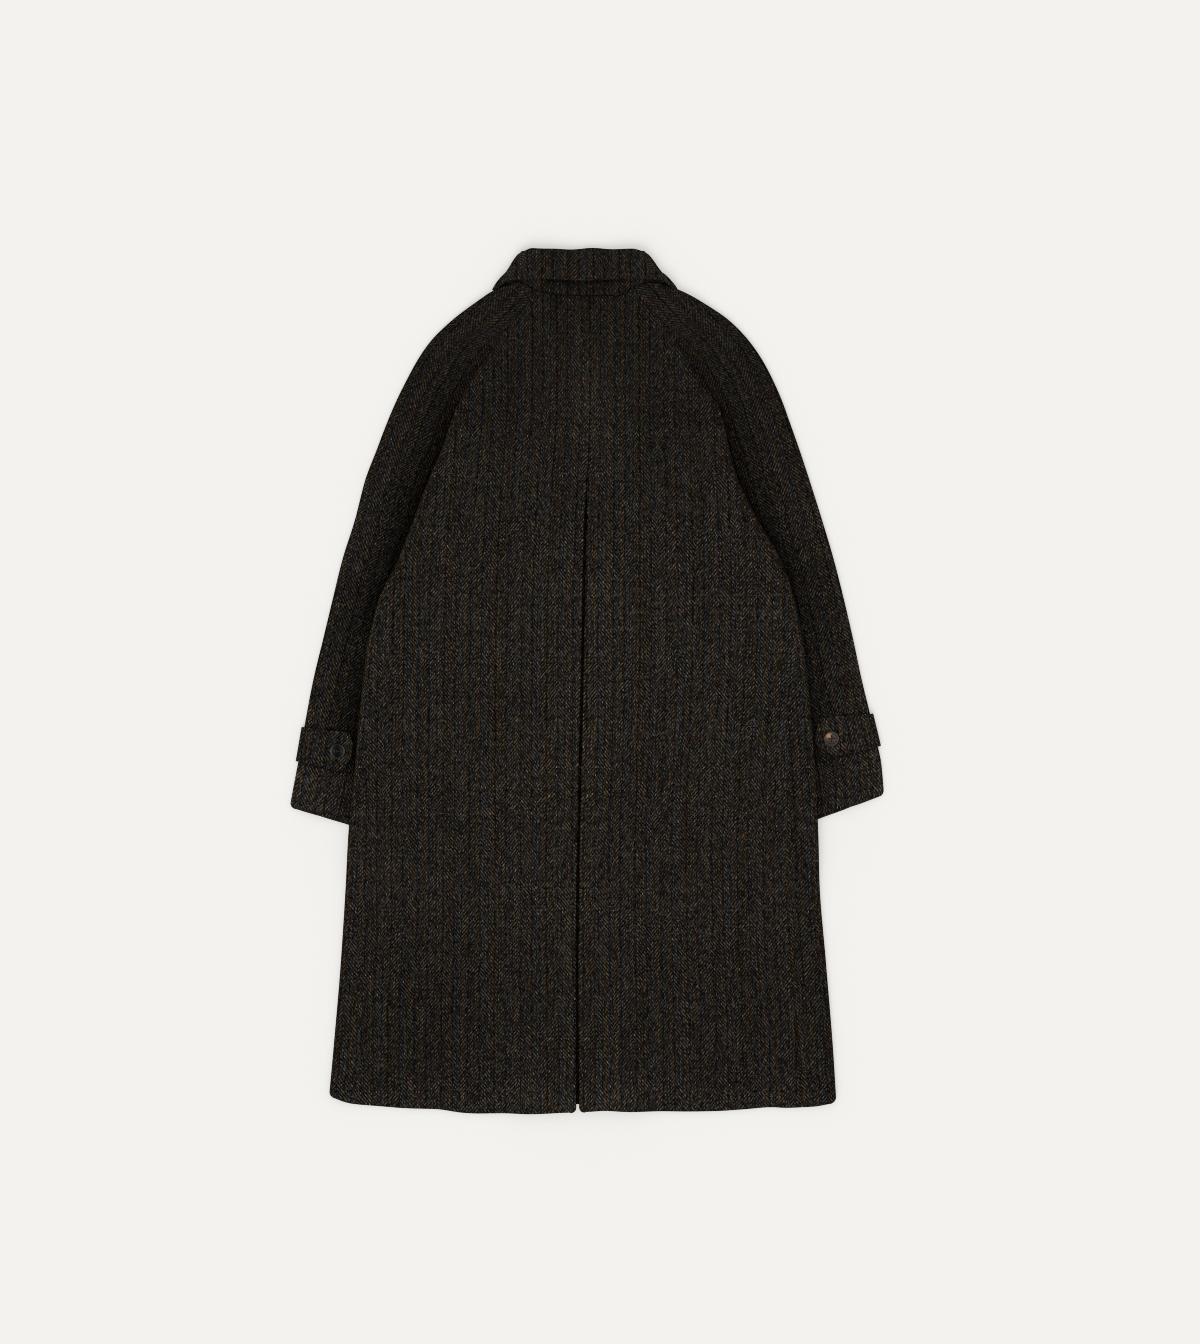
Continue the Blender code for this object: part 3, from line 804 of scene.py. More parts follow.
def frontPoint(side, station, height):
    part, amount = station
    sign = sides[side]
    reach = body["sideFoldReach"]
    edge = bodyEdge[side](height) - sign * cloth["thick"] / 2
    edge -= sign * cornerInset(body["hemCorner"][side], height - body["hemSide"])
    turn = edge - sign * reach
    seam = seamX(side, height) + sign * cloth["seamGap"] / 2
    if height > body["armpit"]:
        turn = bodyEdge[side](height) - sign * cloth["seamGap"] / 2
    if part == "top":
        x = mix(seam, turn, amount)
    elif part == "fold":
        x = turn + sign * reach * math.cos(math.radians(amount))
    else:
        x = mix(turn, -sign * body["frontOverlap"], amount)
    half = abs(x) if x * sign > 0 else 0
    inwards = ease(*body["frontRiseX"], amount) if part == "under" else 0
    rise = body["frontHemRise"] * ease(body["frontRiseFrom"], body["hemSide"], height) * inwards
    y = bodyY(x, height, neckFront(half)) + rise
    level = x if part != "fold" else turn
    low = frontLevel(side, level, y)
    high = topLevel(level, y)
    arc = (high - low) / 2 + reach
    tone = front["stripTone"][side] * paintedShadingTone(x, y)
    across = front["bandFromFold"][side]
    if part == "top":
        return x, y, high + seamForm(abs(x - seam)), abs(turn - x) + arc - across, y, tone
    if part == "under":
        return x, y, low, -abs(turn - x) - arc - across, y, tone
    lift = (1 + math.sin(math.radians(amount))) / 2
    return x, y, mix(low, high, lift), arc * amount / 90 - across, y, tone


def makeFront(side):
    columns = stations("top", (0, 0.06, 0.14, 0.25, 0.4, 0.55, 0.7, 0.85))
    columns += stations("fold", range(90, -91, -15))
    under = len(columns) - 1
    columns += stations("under", (0.03, 0.08, 0.14, 0.2, 0.26, 0.32, 0.38, 0.44, 0.5, 0.56))
    columns += stations("under", (0.62, 0.68, 0.74, 0.79, 0.85, 0.9, 0.95, 1))
    rows = bodyRows(body["frontStep"])

    def keep(column, row):
        return column >= under or rows[row] < body["armpit"]

    return makeSheet(f"tweed_front_{side}", columns, rows, partial(frontPoint, side), cloth["thick"], keep)


# Sleeves

sleeve = {
    # height of the section's inner end, then height and x of its outer end
    "left": [
        (-216, -166, -398.5), (-130, -108, -387), (-82, -62, -379), (-8, 1, -367), (58, 55, -354),
        (125, 109, -341), (190, 162, -328), (255, 216, -311), (312, 270, -297), (345, 310, -282),
        (372, 345, -269), (396, 374, -257), (420, 401, -244), (444, 428, -229.5), (468, 455, -211),
        (490, 483, -182.5), (508, 509, -148), (518, 524, -125), (527, 535.5, -93),
    ],
    "right": [
        (-215, -147, 398.7), (-165, -110, 395), (-133, -88, 390.5), (-58, -44, 380), (0, 1, 369),
        (62, 55, 357.5), (128, 109, 345), (192, 162, 331.5), (255, 216, 315.5), (312, 270, 298.5),
        (345, 310, 285.5),
        (372, 345, 273.5), (396, 374, 263.5), (420, 401, 252), (444, 428, 238), (468, 455, 219.5),
        (490, 483, 192.5), (508, 509, 154), (518, 523.5, 126.5), (527, 535.5, 90),
    ],
    "cuff": -216,
    "top": 527,
    "cuffRows": (0, 0.3, 0.8, 1.6, 2.8, 4.6),   # rows close to the cuff
    # rows above them: start, end and share of the usual step
    "rows": [
        (-209, -146, 1), (-146, -122, 1 / 3), (-122, -90, 1), (-90, -50, 1 / 2), (-50, 340, 1),
        (340, 380, 1 / 2), (380, 480, 0.7), (480, 527, 1 / 3),
    ],
    # angles round both edges, columns between them, and that step
    "layers": {
        "back": {"fold": range(0, 91, 15), "underarm": (35, 60), "columns": 34, "step": 6},
        "front": {"fold": (-60, -75, -90), "underarm": (25, 40), "columns": 14, "step": 12},
    },
    "foldReach": 2.0,
    "foldTurn": 30,      # degrees of the fold to a millimetre of cloth
    "humpPower": 0.85,
    # section, how far the sleeve stands up between its edges
    "puff": [(-216, 3.2), (-100, 4.6), (100, 5.4), (300, 5.4), (372, 4.2), (444, 2.8), (500, 1.2), (527, 0)],
    "creases": [
        (-372, 92, -318, 118, 15, 0.9), (-350, 196, -292, 214, 16, 0.8), (-318, 300, -262, 330, 18, 0.8),
        (-392, -40, -330, -18, 14, 0.7), (338, 190, 286, 232, 16, 0.9), (366, 66, 318, 96, 15, 0.8),
        (312, 306, 262, 338, 18, 0.8), (390, -20, 336, 2, 14, 0.7),
    ],
    # first band from the outer edge, and its drift up the sleeve
    "bandAt": {"left": [(60, 11.5), (700, 9.8)], "right": [(60, 30), (335, 24.5), (490, 18.9), (700, 13)]},
    # painted light and shade up the sleeve, and the painted shade that falls into the valley beside the body
    "tone": [
        (-216, 1.6), (-140, 1.58), (-118, 1.16), (-60, 1.12), (60, 1.12), (180, 1.08), (260, 0.97),
        (330, 0.88), (380, 0.82), (440, 0.76), (527, 0.8),
    ],
    "valley": [(0, 1), (6, 0.97), (16, 0.82), (30, 0.6), (45, 0.38), (62, 0.18), (85, 0.04), (105, 0)],
    "valleyDepth": [
        (-216, 0.42), (-150, 0.5), (-105, 0.82), (-60, 0.68), (40, 0.56), (120, 0.68), (200, 0.76),
        (330, 0.66), (390, 0.56), (440, 0.3), (490, 0.1),
    ],
    "valleyShare": {"left": 1.04, "right": 0.86},
    "cuffDrop": {"left": (2.5, 0.3), "right": (4.5, -4)},   # at the outer and the inner end
    "dropFrom": (60, 0),
    "cuffCorner": 8.5,
    "cornerDepth": 0.75,
    "cuffTone": {"left": 0.96, "right": 0.8},
    "cuffFrom": (-112, -140),
    "softEdge": 1.4,     # the shoulder's edge is soft
    "softFrom": (300, 440),
    "bendTop": (362, 346),   # the underarm bends below the armpit, and above it there is a seam
    "seamFrom": (350, 368),
    "straightFrom": 478,   # from here up the grain no longer follows the shoulder's edge
}
sleeveOuterY = {side: curve(sleeve[side], 1) for side in sides}
sleeveOuterX = {side: curve(sleeve[side], 2) for side in sides}
sleevePuff = curve(sleeve["puff"])
sleeveBand = {side: curve(sleeve["bandAt"][side]) for side in sides}
sleeveToneAlong = curve(sleeve["tone"])
valleyFall = curve(sleeve["valley"])
valleyDepth = curve(sleeve["valleyDepth"])
sleeveLengths = {}
sections = {}


def outerPoint(side, inner):
    return Vector((sleeveOuterX[side](inner), sleeveOuterY[side](inner)))


for side in sides:
    total = 0
    sleeveLengths[side] = [(sleeve["cuff"], 0)]
    for inner in range(sleeve["cuff"] + 1, sleeve["top"] + 1):
        total += (outerPoint(side, inner) - outerPoint(side, inner - 1)).length
        sleeveLengths[side].append((inner, total))
sleeveRun = {side: curve(sleeveLengths[side]) for side in sides}


def sleeveSection(side, inner):
    # Outer end, direction inwards, width, visible width, and how the grain lies to the section
    key = (side, inner)
    if key in sections:
        return sections[key]
    outer = outerPoint(side, inner)
    edge = bodyEdge if inner > body["armpit"] else underarm
    end = Vector((edge[side](inner), inner))
    fromCuff = inner - sleeve["cuff"]
    drops = [amount * ease(*sleeve["dropFrom"], fromCuff) for amount in sleeve["cuffDrop"][side]]
    outer += Vector((0, -drops[0]))
    inwards = (end + Vector((0, -drops[1])) - outer).normalized()
    outer += inwards * sleeve["cornerDepth"] * cornerInset(sleeve["cuffCorner"], fromCuff)
    outer += inwards * sleeve["softEdge"] * ease(*sleeve["softFrom"], inner)
    width = (end - outer).length
    shown = width
    if inner < body["armpit"]:
        low = 0
        high = width
        for halving in range(24):
            shown = (low + high) / 2
            x, y = outer + inwards * shown
            if abs(x) > abs(bodyEdge[side](y)):
                low = shown
            else:
                high = shown
    along = (outerPoint(side, inner + 2) - outerPoint(side, inner - 2)).normalized()
    square = abs(along.x * inwards.y - along.y * inwards.x)
    sections[key] = (outer, inwards, width, shown, square, along.dot(inwards))
    return sections[key]


def sleeveLevels(side, inner, reach):
    outer, inwards, width, shown = sleeveSection(side, inner)[:4]
    x, y = outer + inwards * reach
    share = min(1, max(0, reach / shown))
    hump = math.sin(math.pi * share ** sleeve["humpPower"]) ** 2
    low = cloth["floor"] + collarLift(x, y)
    rise = (sleevePuff(inner) + creaseRise(sleeve["creases"], x, y)) * hump
    return x, y, low, low + cloth["pitch"] + rise


def sleeveGrain(side, inner, reach):
    square, slant = sleeveSection(side, inner)[4:]
    along = sleeveRun[side](inner) + reach * slant
    across = reach * square
    last = sleeve["straightFrom"]
    if inner > last:
        start = sleeveSection(side, last)[0]
        run = (outerPoint(side, last + 2) - outerPoint(side, last - 2)).normalized()
        outer, inwards = sleeveSection(side, inner)[:2]
        away = outer + inwards * reach - start
        along = sleeveRun[side](last) + away.dot(run)
        across = sides[side] * (away.y * run.x - away.x * run.y)
    return across - sleeveBand[side](along), along


def sleeveTone(side, inner, reach):
    # Painted light and shade on the sleeve: lighter at the cuff, darker at the shoulder, and painted shade
    # in the valley beside the body
    shown = sleeveSection(side, inner)[3]
    valley = sleeve["valleyShare"][side] * valleyDepth(inner) * valleyFall(shown - reach)
    # The strap throws a little shade below its lower edge
    own = strap[side]
    below = own["lower"] - own["flare"] * reach / own["reach"] - inner
    strip = ease(*strap["shadeStart"], below) * ease(*strap["shadeFade"], below)
    strip *= ease(*strap["shadeEnd"], reach - own["reach"])
    cuff = mix(1, sleeve["cuffTone"][side], ease(*sleeve["cuffFrom"], inner))
    return sleeveToneAlong(inner) * cuff * (1 - valley) * (1 - strap["shade"][side] * strip)


def sleevePoint(layer, side, station, inner):
    part, amount = station
    width = sleeveSection(side, inner)[2] - cloth["seamGap"] / 2
    fold = sleeve["foldReach"]
    turn = cloth["thick"] / 2 + fold
    bend = 0
    reach = turn
    if part == "across":
        reach = mix(turn, width - fold, amount)
    elif part == "underarm":
        angle = math.radians(amount)
        reach = width - fold * (1 - math.sin(angle))
        bend = cloth["rollRadius"] * (1 - math.cos(angle)) * ease(*sleeve["bendTop"], inner)
    across, along = sleeveGrain(side, inner, reach)
    tone = sleeveTone(side, inner, reach)
    x, y, low, high = sleeveLevels(side, inner, reach)
    if part == "fold":
        angle = math.radians(amount)
        x, y = sleeveLevels(side, inner, turn - fold * math.cos(angle))[:2]
        across -= (90 - amount) / sleeve["foldTurn"]
        return x, y, mix(low, high, (1 + math.sin(angle)) / 2), across, along, tone
    if layer == "front":
        return x, y, low + bend, -across, along, tone
    seam = seamForm(width - reach) * ease(*sleeve["seamFrom"], inner)
    return x, y, high - bend + seam, across, along, tone


def sleeveRows(size):
    rows = [sleeve["cuff"] + offset for offset in sleeve["cuffRows"]]
    for start, end, share in sleeve["rows"]:
        rows += steps(start, end, size * share)
    return rows + [sleeve["top"]]


def makeSleeve(layer, side):
    own = sleeve["layers"][layer]
    columns = stations("fold", own["fold"])
    columns += [("across", (k + 1) / own["columns"]) for k in range(own["columns"])]
    columns += stations("underarm", own["underarm"])
    rows = sleeveRows(own["step"])
    place = partial(sleevePoint, layer, side)
    return makeSheet(f"tweed_sleeve_{layer}_{side}", columns, rows, place, cloth["thick"])


# Collar: its front lies under the coat, its sides fold and its back shows

collar = {
    # share of the half width, then the heights of the roll and of the fall's edge
    "back": [(0, 577, 536.5), (0.6, 577.3, 539), (0.85, 577.3, 537), (1, 574, 524)],
    # the same in front, with the neck edge first
    "front": [
        (0, 453, 481, 432), (0.3, 459, 490, 408), (0.5, 469, 506, 399), (0.65, 508, 540, 415),
        (0.71, 530, 553, 430), (0.87, 532, 566, 484), (1, 537.5, 574, 526),
    ],
    "middle": 5.2,
    "rollHalf": 79.6,
    "neckHalf": 90,
    "fallHalf": 125.5,
    "flare": 0.75,
    "standGap": 0.8,
    "edgeLift": 1.1,     # the fall's edge stands off the neck
    "liftFrom": (0.45, 1),
    "rollLength": 4,     # cloth in the roll, and in the turn to the front
    "turnLength": 9,
    "rollWave": 0.8,
    "sewnUnder": (1.8, 8),   # how far it is sewn in under the neck edge, at the ends and in the middle
    "sewnFrom": (58, 46),
    "tuck": 2.1,         # and how deep
    "tuckFrom": (5.2, 2.2),
    "seatTop": 548,      # its back rests on the coat up to here
    "backRows": 24,
    # from the roll to the fall's edge: how far the collar lies to the left, and how much narrower it is
    "lean": [
        (0, -5, -2), (0.25, -4.6, 2), (0.5, -4, 4.6), (0.7, -3.4, 1.9), (0.85, -2.6, 0.8), (1, -2.4, 1.6),
    ],
    "bandAt": 23,
    "tone": 0.82,
    "endTone": 0.2,      # lighter towards both ends
    "endFrom": (0.68, 0.96),
    "endFade": (1, 0.55),
    "pressed": 0.12,     # and painted lighter along the fall's edge, a painted highlight
    "pressedFrom": (0.76, 0.9),
    # painted shade on the stand between the fall and the neck
    "standTone": 0.68,
    "underFall": 0.3,    # painted shadow on the stand below the fall's edge
    "underFallFrom": (0.31, 0.39),
    "neckSeam": 0.05,    # shade along the neck seam
    "neckShadeY": (3.5, 0.6),
    "neckShadeX": (55, 35),
    "standShade": (3, 0.6),
}
collarLean = curve(collar["lean"], 1)
collarTrim = curve(collar["lean"], 2)
collarBack = [curve(collar["back"], k) for k in (1, 2)]
collarFront = [curve(collar["front"], k) for k in (1, 2, 3)]


def collarPoint(column, station):
    zone, sign, amount = station
    part, share = column
    radius = cloth["rollRadius"]
    turn = math.radians(share)
    if part == "stand":
        half = mix(collar["neckHalf"], collar["rollHalf"] - radius, share)
        out = -radius
    elif part == "roll":
        half = collar["rollHalf"] + radius * math.cos(turn)
        out = radius * math.cos(turn)
    else:
        half = mix(collar["rollHalf"] + radius, collar["fallHalf"], share ** collar["flare"])
        out = radius
    bow = 2 * radius + out
    down = share if part == "fall" else 0
    straight = half - bow - collarTrim(down)
    reach = 1 if zone == "side" else amount
    x = sign * straight * reach
    if zone == "side":
        x += sign * bow * math.sin(math.radians(amount))
    if zone == "front":
        neck, roll, fall = [line(reach) for line in collarFront]
    else:
        neck = neckLine(sign * collar["neckHalf"] * reach) + collar["standGap"]
        roll, fall = [line(reach) for line in collarBack]
    wave = collar["rollWave"] * (math.sin(x / 13 + 0.6) + 0.6 * math.sin(x / 7.5)) * ease(1, 0.9, reach)
    wave = wave if zone == "back" else 0
    lift = 0
    tuck = 0
    if part == "stand":
        under = mix(*collar["sewnUnder"], ease(*collar["sewnFrom"], abs(x)))
        y = mix(neck - under, roll, share)
        length = y
        tuck = collar["tuck"] * ease(*collar["tuckFrom"], y - neck)
    elif part == "roll":
        y = roll + (radius + wave) * math.sin(turn)
        length = roll + radius * turn
    else:
        y = mix(roll, fall, share)
        lift = collar["edgeLift"] * ease(*collar["liftFrom"], share)
        length = 2 * roll + collar["rollLength"] - y
    # Painted highlight along the fall's edge, and painted shade on the stand, darkest under the fall's edge
    tone = collar["tone"] + collar["pressed"] * ease(*collar["pressedFrom"], down)
    tone += collar["endTone"] * ease(*collar["endFrom"], reach) * ease(*collar["endFade"], down)
    if part == "stand":
        seam = collar["neckSeam"] * ease(*collar["standShade"], abs(y - neck))
        hidden = ease(*collar["underFallFrom"], share)
        tone = mix(collar["standTone"] * (1 - seam), collar["underFall"], hidden)
        down = 1 - share
    x += collarLean(down)
    if zone == "front":
        along = sign * (2 * straight + collar["turnLength"] - abs(x))
        return x, y, collar["middle"] - bow, along, length, tone
    if zone == "side":
        bent = math.radians(amount)
        along = sign * (straight + bow * bent) - collar["bandAt"]
        return x, y, collar["middle"] + bow * math.cos(bent), along, length, tone
    z = topLevel(x, min(y, collar["seatTop"])) + radius + out + lift * ease(1, 0.8, reach) - tuck
    return x, y, z, x - collar["bandAt"], length, tone


def makeCollar():
    half = stations("front", (0.06, 0.22, 0.4, 0.5, 0.56, 0.65, 0.7, 0.76, 0.82, 0.87, 0.92, 1))
    half += stations("side", range(165, 14, -15))
    half += [("back", 1 - k / collar["backRows"]) for k in range(collar["backRows"])]
    rows = [(zone, -1, amount) for zone, amount in half] + [("back", 1, 0)]
    rows += [(zone, 1, amount) for zone, amount in reversed(half)]
    columns = stations("stand", (0, 0.03, 0.06, 0.09, 0.12, 0.18, 0.24, 0.3, 0.36, 0.46, 0.6, 0.74, 0.88))
    columns += stations("roll", range(180, -1, -20))
    columns += stations("fall", (0.06, 0.15, 0.27, 0.4, 0.53, 0.66, 0.78, 0.88, 0.95, 1))
    return makeSheet("tweed_collar", columns, rows, collarPoint, cloth["thick"])


# Cuff straps and their buttons

strap = {
    "left": {
        "upper": -82, "lower": -130, "reach": 69, "corners": (9, 13), "cornerPower": 2.4,
        "nose": -0.15, "flare": 7,
        "buttonSection": -108, "buttonReach": 49,
    },
    "right": {
        "upper": -58, "lower": -133, "reach": 81, "corners": (13, 22), "cornerPower": 1.25,
        "nose": 0.22, "flare": -3,
        "buttonSection": -97, "buttonReach": 57.8,
    },
    "thick": 2.0,
    "lie": 0.4,
    "bulge": {"left": 1.2, "right": 1.8},
    "tuckDrop": 1.1,     # its end turns in under the bend and is sewn to the sleeve's edge
    "puff": 0.5,
    "foldTurn": 11,      # degrees of the fold to a millimetre of cloth
    "rows": 22,
    "bandAt": 14,
    # painted light: the straps are painted lighter than the sleeve
    "tone": {"left": 1.04, "right": 1.14},
    "shade": {"left": 0.4, "right": 0.22},   # on the sleeve, below the strap
    "shadeStart": (-3, 0),
    "shadeFade": (8, 1),
    "shadeEnd": (0, -12),
}


def strapRise():
    return cloth["thick"] / 2 + strap["lie"] + strap["thick"] / 2


def strapPoint(side, width, station):
    part, amount = station
    own = strap[side]
    fold = sleeve["foldReach"]
    turn = cloth["thick"] / 2 + fold
    rise = strapRise()
    widen = own["flare"] * amount if part == "top" else 0
    section = mix(own["upper"], own["lower"] - widen, (width + 1) / 2)
    along = sleeveRun[side](section)
    if part == "fold":
        angle = math.radians(amount)
        low, high = sleeveLevels(side, section, turn)[2:]
        inmost = 0
        drop = (high - low) / 2 + rise
        if amount < 0:
            inmost = fold + strap["lie"]
            drop = strap["tuckDrop"]
        out = mix(inmost, fold + rise + strap["bulge"][side], math.cos(angle))
        x, y = sleeveLevels(side, section, turn - out)[:2]
        z = (low + high) / 2 + drop * math.sin(angle)
        return x, y, z, -(90 - amount) / strap["foldTurn"] - strap["bandAt"], along, strap["tone"][side]
    fromNose = width - own["nose"]
    cutBack = abs(fromNose) / (1 + own["nose"] if fromNose < 0 else 1 - own["nose"])
    corner = own["corners"][0 if fromNose < 0 else 1] * cutBack ** own["cornerPower"] * amount ** 3
    reach = mix(turn, own["reach"], amount) - corner
    x, y, low, high = sleeveLevels(side, section, reach)
    pillow = strap["puff"] * (1 - width * width) * math.sin(math.pi * amount)
    return x, y, high + rise + pillow, reach - strap["bandAt"], along, strap["tone"][side]


def makeStrap(side):
    columns = [-1, -0.96, -0.88, -0.76, -0.6, -0.4, -0.2, 0, 0.2, 0.4, 0.6, 0.76, 0.88, 0.96, 1]
    rows = stations("fold", (-90, -60, -30, 0, 15, 30, 45, 60, 75, 90))
    rows += [("top", (k + 1) / strap["rows"]) for k in range(strap["rows"])]
    return makeSheet(f"tweed_strap_{side}", columns, rows, partial(strapPoint, side), strap["thick"])


def cutAndDress(obj, kind, side=None):
    node = f"{kind}_{side}" if side else kind
    # Each piece takes the tweed, hangs from the root, and its part of the frame is hidden
    obj.data.materials.append(tweed)
    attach(obj, "root")
    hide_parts(node)


cutAndDress(makeUnderlay(), "pleat_underlay")
for side in sides:
    cutAndDress(makeBack(side), "back", side)
    cutAndDress(makeFront(side), "front", side)
    cutAndDress(makeSleeve("back", side), "sleeve_back", side)
    cutAndDress(makeSleeve("front", side), "sleeve_front", side)
    cutAndDress(makeStrap(side), "cuff_strap", side)
cutAndDress(makeCollar(), "collar")
print("cloth laid")


# Buttons: turned horn with a rim, a dish and four holes, sewn through

button = {
    "radius": 9.7,
    "height": 4.0,
    "rim": 1.7,
    "dish": 5.2,         # radius of the flat middle
    "dishDepth": 1.5,
    "dishStep": (0.8, 0.15),   # its middle is a little lower still: width and depth of that step
    "foot": 7.4,
    "footStep": (0.4, 0.25),
    "edgeRound": 0.55,
    "holeRadius": 1.1,
    "holeOffset": 2.3,
    "rest": 6,
    "lie": 0.4,
    "threadRadius": 0.42,
    "threadRise": 0.55,
    "threadCross": 0.5,  # the upper stitch crosses over the other
    "threadDrop": 2.2,   # and both go down into the holes
    "threadTwist": 2600,
}
# Grain that both horns share
horn = {
    "stretch": (0.9, 2.6, 1),
    "streakScale": 1.3,
    "streakTwist": 0.8,
    "streaks": (0.4, 1.6),
    "grainScale": 14,
    "grain": (0.75, 1.3),
    "roughness": (0.28, 0.48),
    "glowPower": 5,      # the higher, the narrower the painted highlight
    "glowEnd": 0.8,      # it stops short of the rim
}
horns = {
    "left": {
        "name": "dark horn",
        "slot": "dark_horn",
        "turn": 0,
        # from the middle outwards: share of the radius and colour; the light rims and dark grooves are
        # painted light and shade
        "rings": [
            (0, (0.006, 0.0048, 0.005)), (0.4, (0.007, 0.006, 0.0064)), (0.5, (0.022, 0.022, 0.022)),
            (0.62, (0.005, 0.005, 0.0052)), (0.73, (0.008, 0.008, 0.0084)), (0.86, (0.034, 0.035, 0.035)),
        ],
        "sideGain": (0.3, 1.7),   # painted reflections: lighter to the left and right than above and below
        "glow": None,
        "gloss": 0.02,
        "thread": (0.004, 0.0035, 0.0035),
    },
    "right": {
        "name": "brown horn",
        "slot": "brown_horn",
        "turn": 45,
        # rings as above, with painted light and shade
        "rings": [
            (0, (0.030, 0.020, 0.014)), (0.36, (0.062, 0.040, 0.028)), (0.6, (0.066, 0.044, 0.032)),
            (0.72, (0.020, 0.017, 0.014)), (0.84, (0.040, 0.037, 0.033)), (0.94, (0.052, 0.048, 0.043)),
        ],
        "sideGain": (0.8, 1.25),
        "glow": (0.34, 0.196, 0.104),   # painted highlight at the upper left, where light comes through the horn
        "gloss": 0.06,
        "thread": (0.004, 0.0035, 0.003),
    },
}


def chooseFaces(obj, test):
    # Selects the faces of the mesh in edit mode whose centre and normal pass the test
    form = bmesh.from_edit_mesh(obj.data)
    for face in form.faces:
        face.select_set(False)
    for face in form.faces:
        if test(face.calc_center_median() / mm, face.normal):
            face.select_set(True)
    form.select_flush(True)
    bmesh.update_edit_mesh(obj.data)


def addStart(kind, **settings):
    if bpy.context.mode != "OBJECT":
        bpy.ops.object.mode_set(mode="OBJECT")
    bpy.ops.object.select_all(action="DESELECT")
    getattr(bpy.ops.mesh, kind)(**settings)
    return bpy.context.active_object


def applyPlace():
    bpy.ops.object.transform_apply(location=True, rotation=True, scale=True)


def turnButton(side):
    disc = addStart("primitive_cylinder_add", vertices=56, radius=button["radius"] * mm,
                    depth=button["height"] * mm, location=(0, 0, button["height"] / 2 * mm))
    disc.name = f"button_horn_{side}"
    applyPlace()
    bpy.ops.object.mode_set(mode="EDIT")
    bpy.ops.mesh.select_mode(type="FACE")
    chooseFaces(disc, lambda at, normal: normal.z > 0.9)
    slope = button["radius"] - button["rim"] - button["dish"]
    stepWidth, stepDepth = button["dishStep"]
    bpy.ops.mesh.inset(thickness=button["rim"] * mm, depth=0)
    bpy.ops.mesh.inset(thickness=slope * mm, depth=-button["dishDepth"] * mm)
    bpy.ops.mesh.inset(thickness=stepWidth * mm, depth=-stepDepth * mm)
    chooseFaces(disc, lambda at, normal: normal.z < -0.9)
    bpy.ops.mesh.inset(thickness=(button["radius"] - button["foot"]) * mm, depth=0)
    chooseFaces(disc, lambda at, normal: normal.z < -0.9 and at.xy.length < button["foot"])
    stepWidth, stepDepth = button["footStep"]
    bpy.ops.mesh.inset(thickness=stepWidth * mm, depth=stepDepth * mm)
    bpy.ops.object.mode_set(mode="OBJECT")
    roundEdges(disc, button["edgeRound"], 3, 24)
    for dx in (-1, 1):
        for dy in (-1, 1):
            spot = (dx * button["holeOffset"] * mm, dy * button["holeOffset"] * mm, 0)
            drill = addStart("primitive_cylinder_add", vertices=16, radius=button["holeRadius"] * mm,
                             depth=4 * button["height"] * mm, location=spot)
            applyPlace()
            activate(disc)
            hole = disc.modifiers.new("hole", "BOOLEAN")
            hole.operation = "DIFFERENCE"
            hole.object = drill
            bpy.ops.object.modifier_apply(modifier="hole")
            bpy.data.objects.remove(drill, do_unlink=True)
    bpy.ops.object.shade_smooth_by_angle(angle=math.radians(32))
    return disc


def sewButton(side):
    # Two stitches cross between the holes and go down into them
    floorOfDish = button["height"] - button["dishDepth"] - button["dishStep"][1]
    span = button["holeOffset"] * math.sqrt(2)
    stitches = []
    for angle in (45, -45):
        stitch = addStart("primitive_cylinder_add", vertices=10, radius=button["threadRadius"] * mm,
                          depth=2 * span * mm, rotation=(0, math.pi / 2, 0))
        applyPlace()
        bpy.ops.object.mode_set(mode="EDIT")
        for cut in (-0.86, -0.6, -0.25, 0, 0.25, 0.6, 0.86):
            bpy.ops.mesh.select_all(action="SELECT")
            bpy.ops.mesh.bisect(plane_co=(cut * span * mm, 0, 0), plane_no=(1, 0, 0))
        form = bmesh.from_edit_mesh(stitch.data)
        for vert in form.verts:
            share = abs(vert.co.x) / (span * mm)
            over = button["threadRise"]
            if angle > 0:
                over += button["threadCross"] * max(0, 1 - 2 * share)
            drop = button["threadDrop"] * ease(0.78, 1.05, share)
            vert.co.z += (floorOfDish + over * (1 - share ** 2) - drop) * mm
        bmesh.update_edit_mesh(stitch.data)
        bpy.ops.object.mode_set(mode="OBJECT")
        stitch.rotation_euler = (0, 0, math.radians(angle))
        applyPlace()
        stitches.append(stitch)
    activate(*stitches)
    bpy.ops.object.join()
    thread = bpy.context.active_object
    thread.name = f"button_thread_{side}"
    bpy.ops.object.shade_smooth_by_angle(angle=math.radians(50))
    return thread


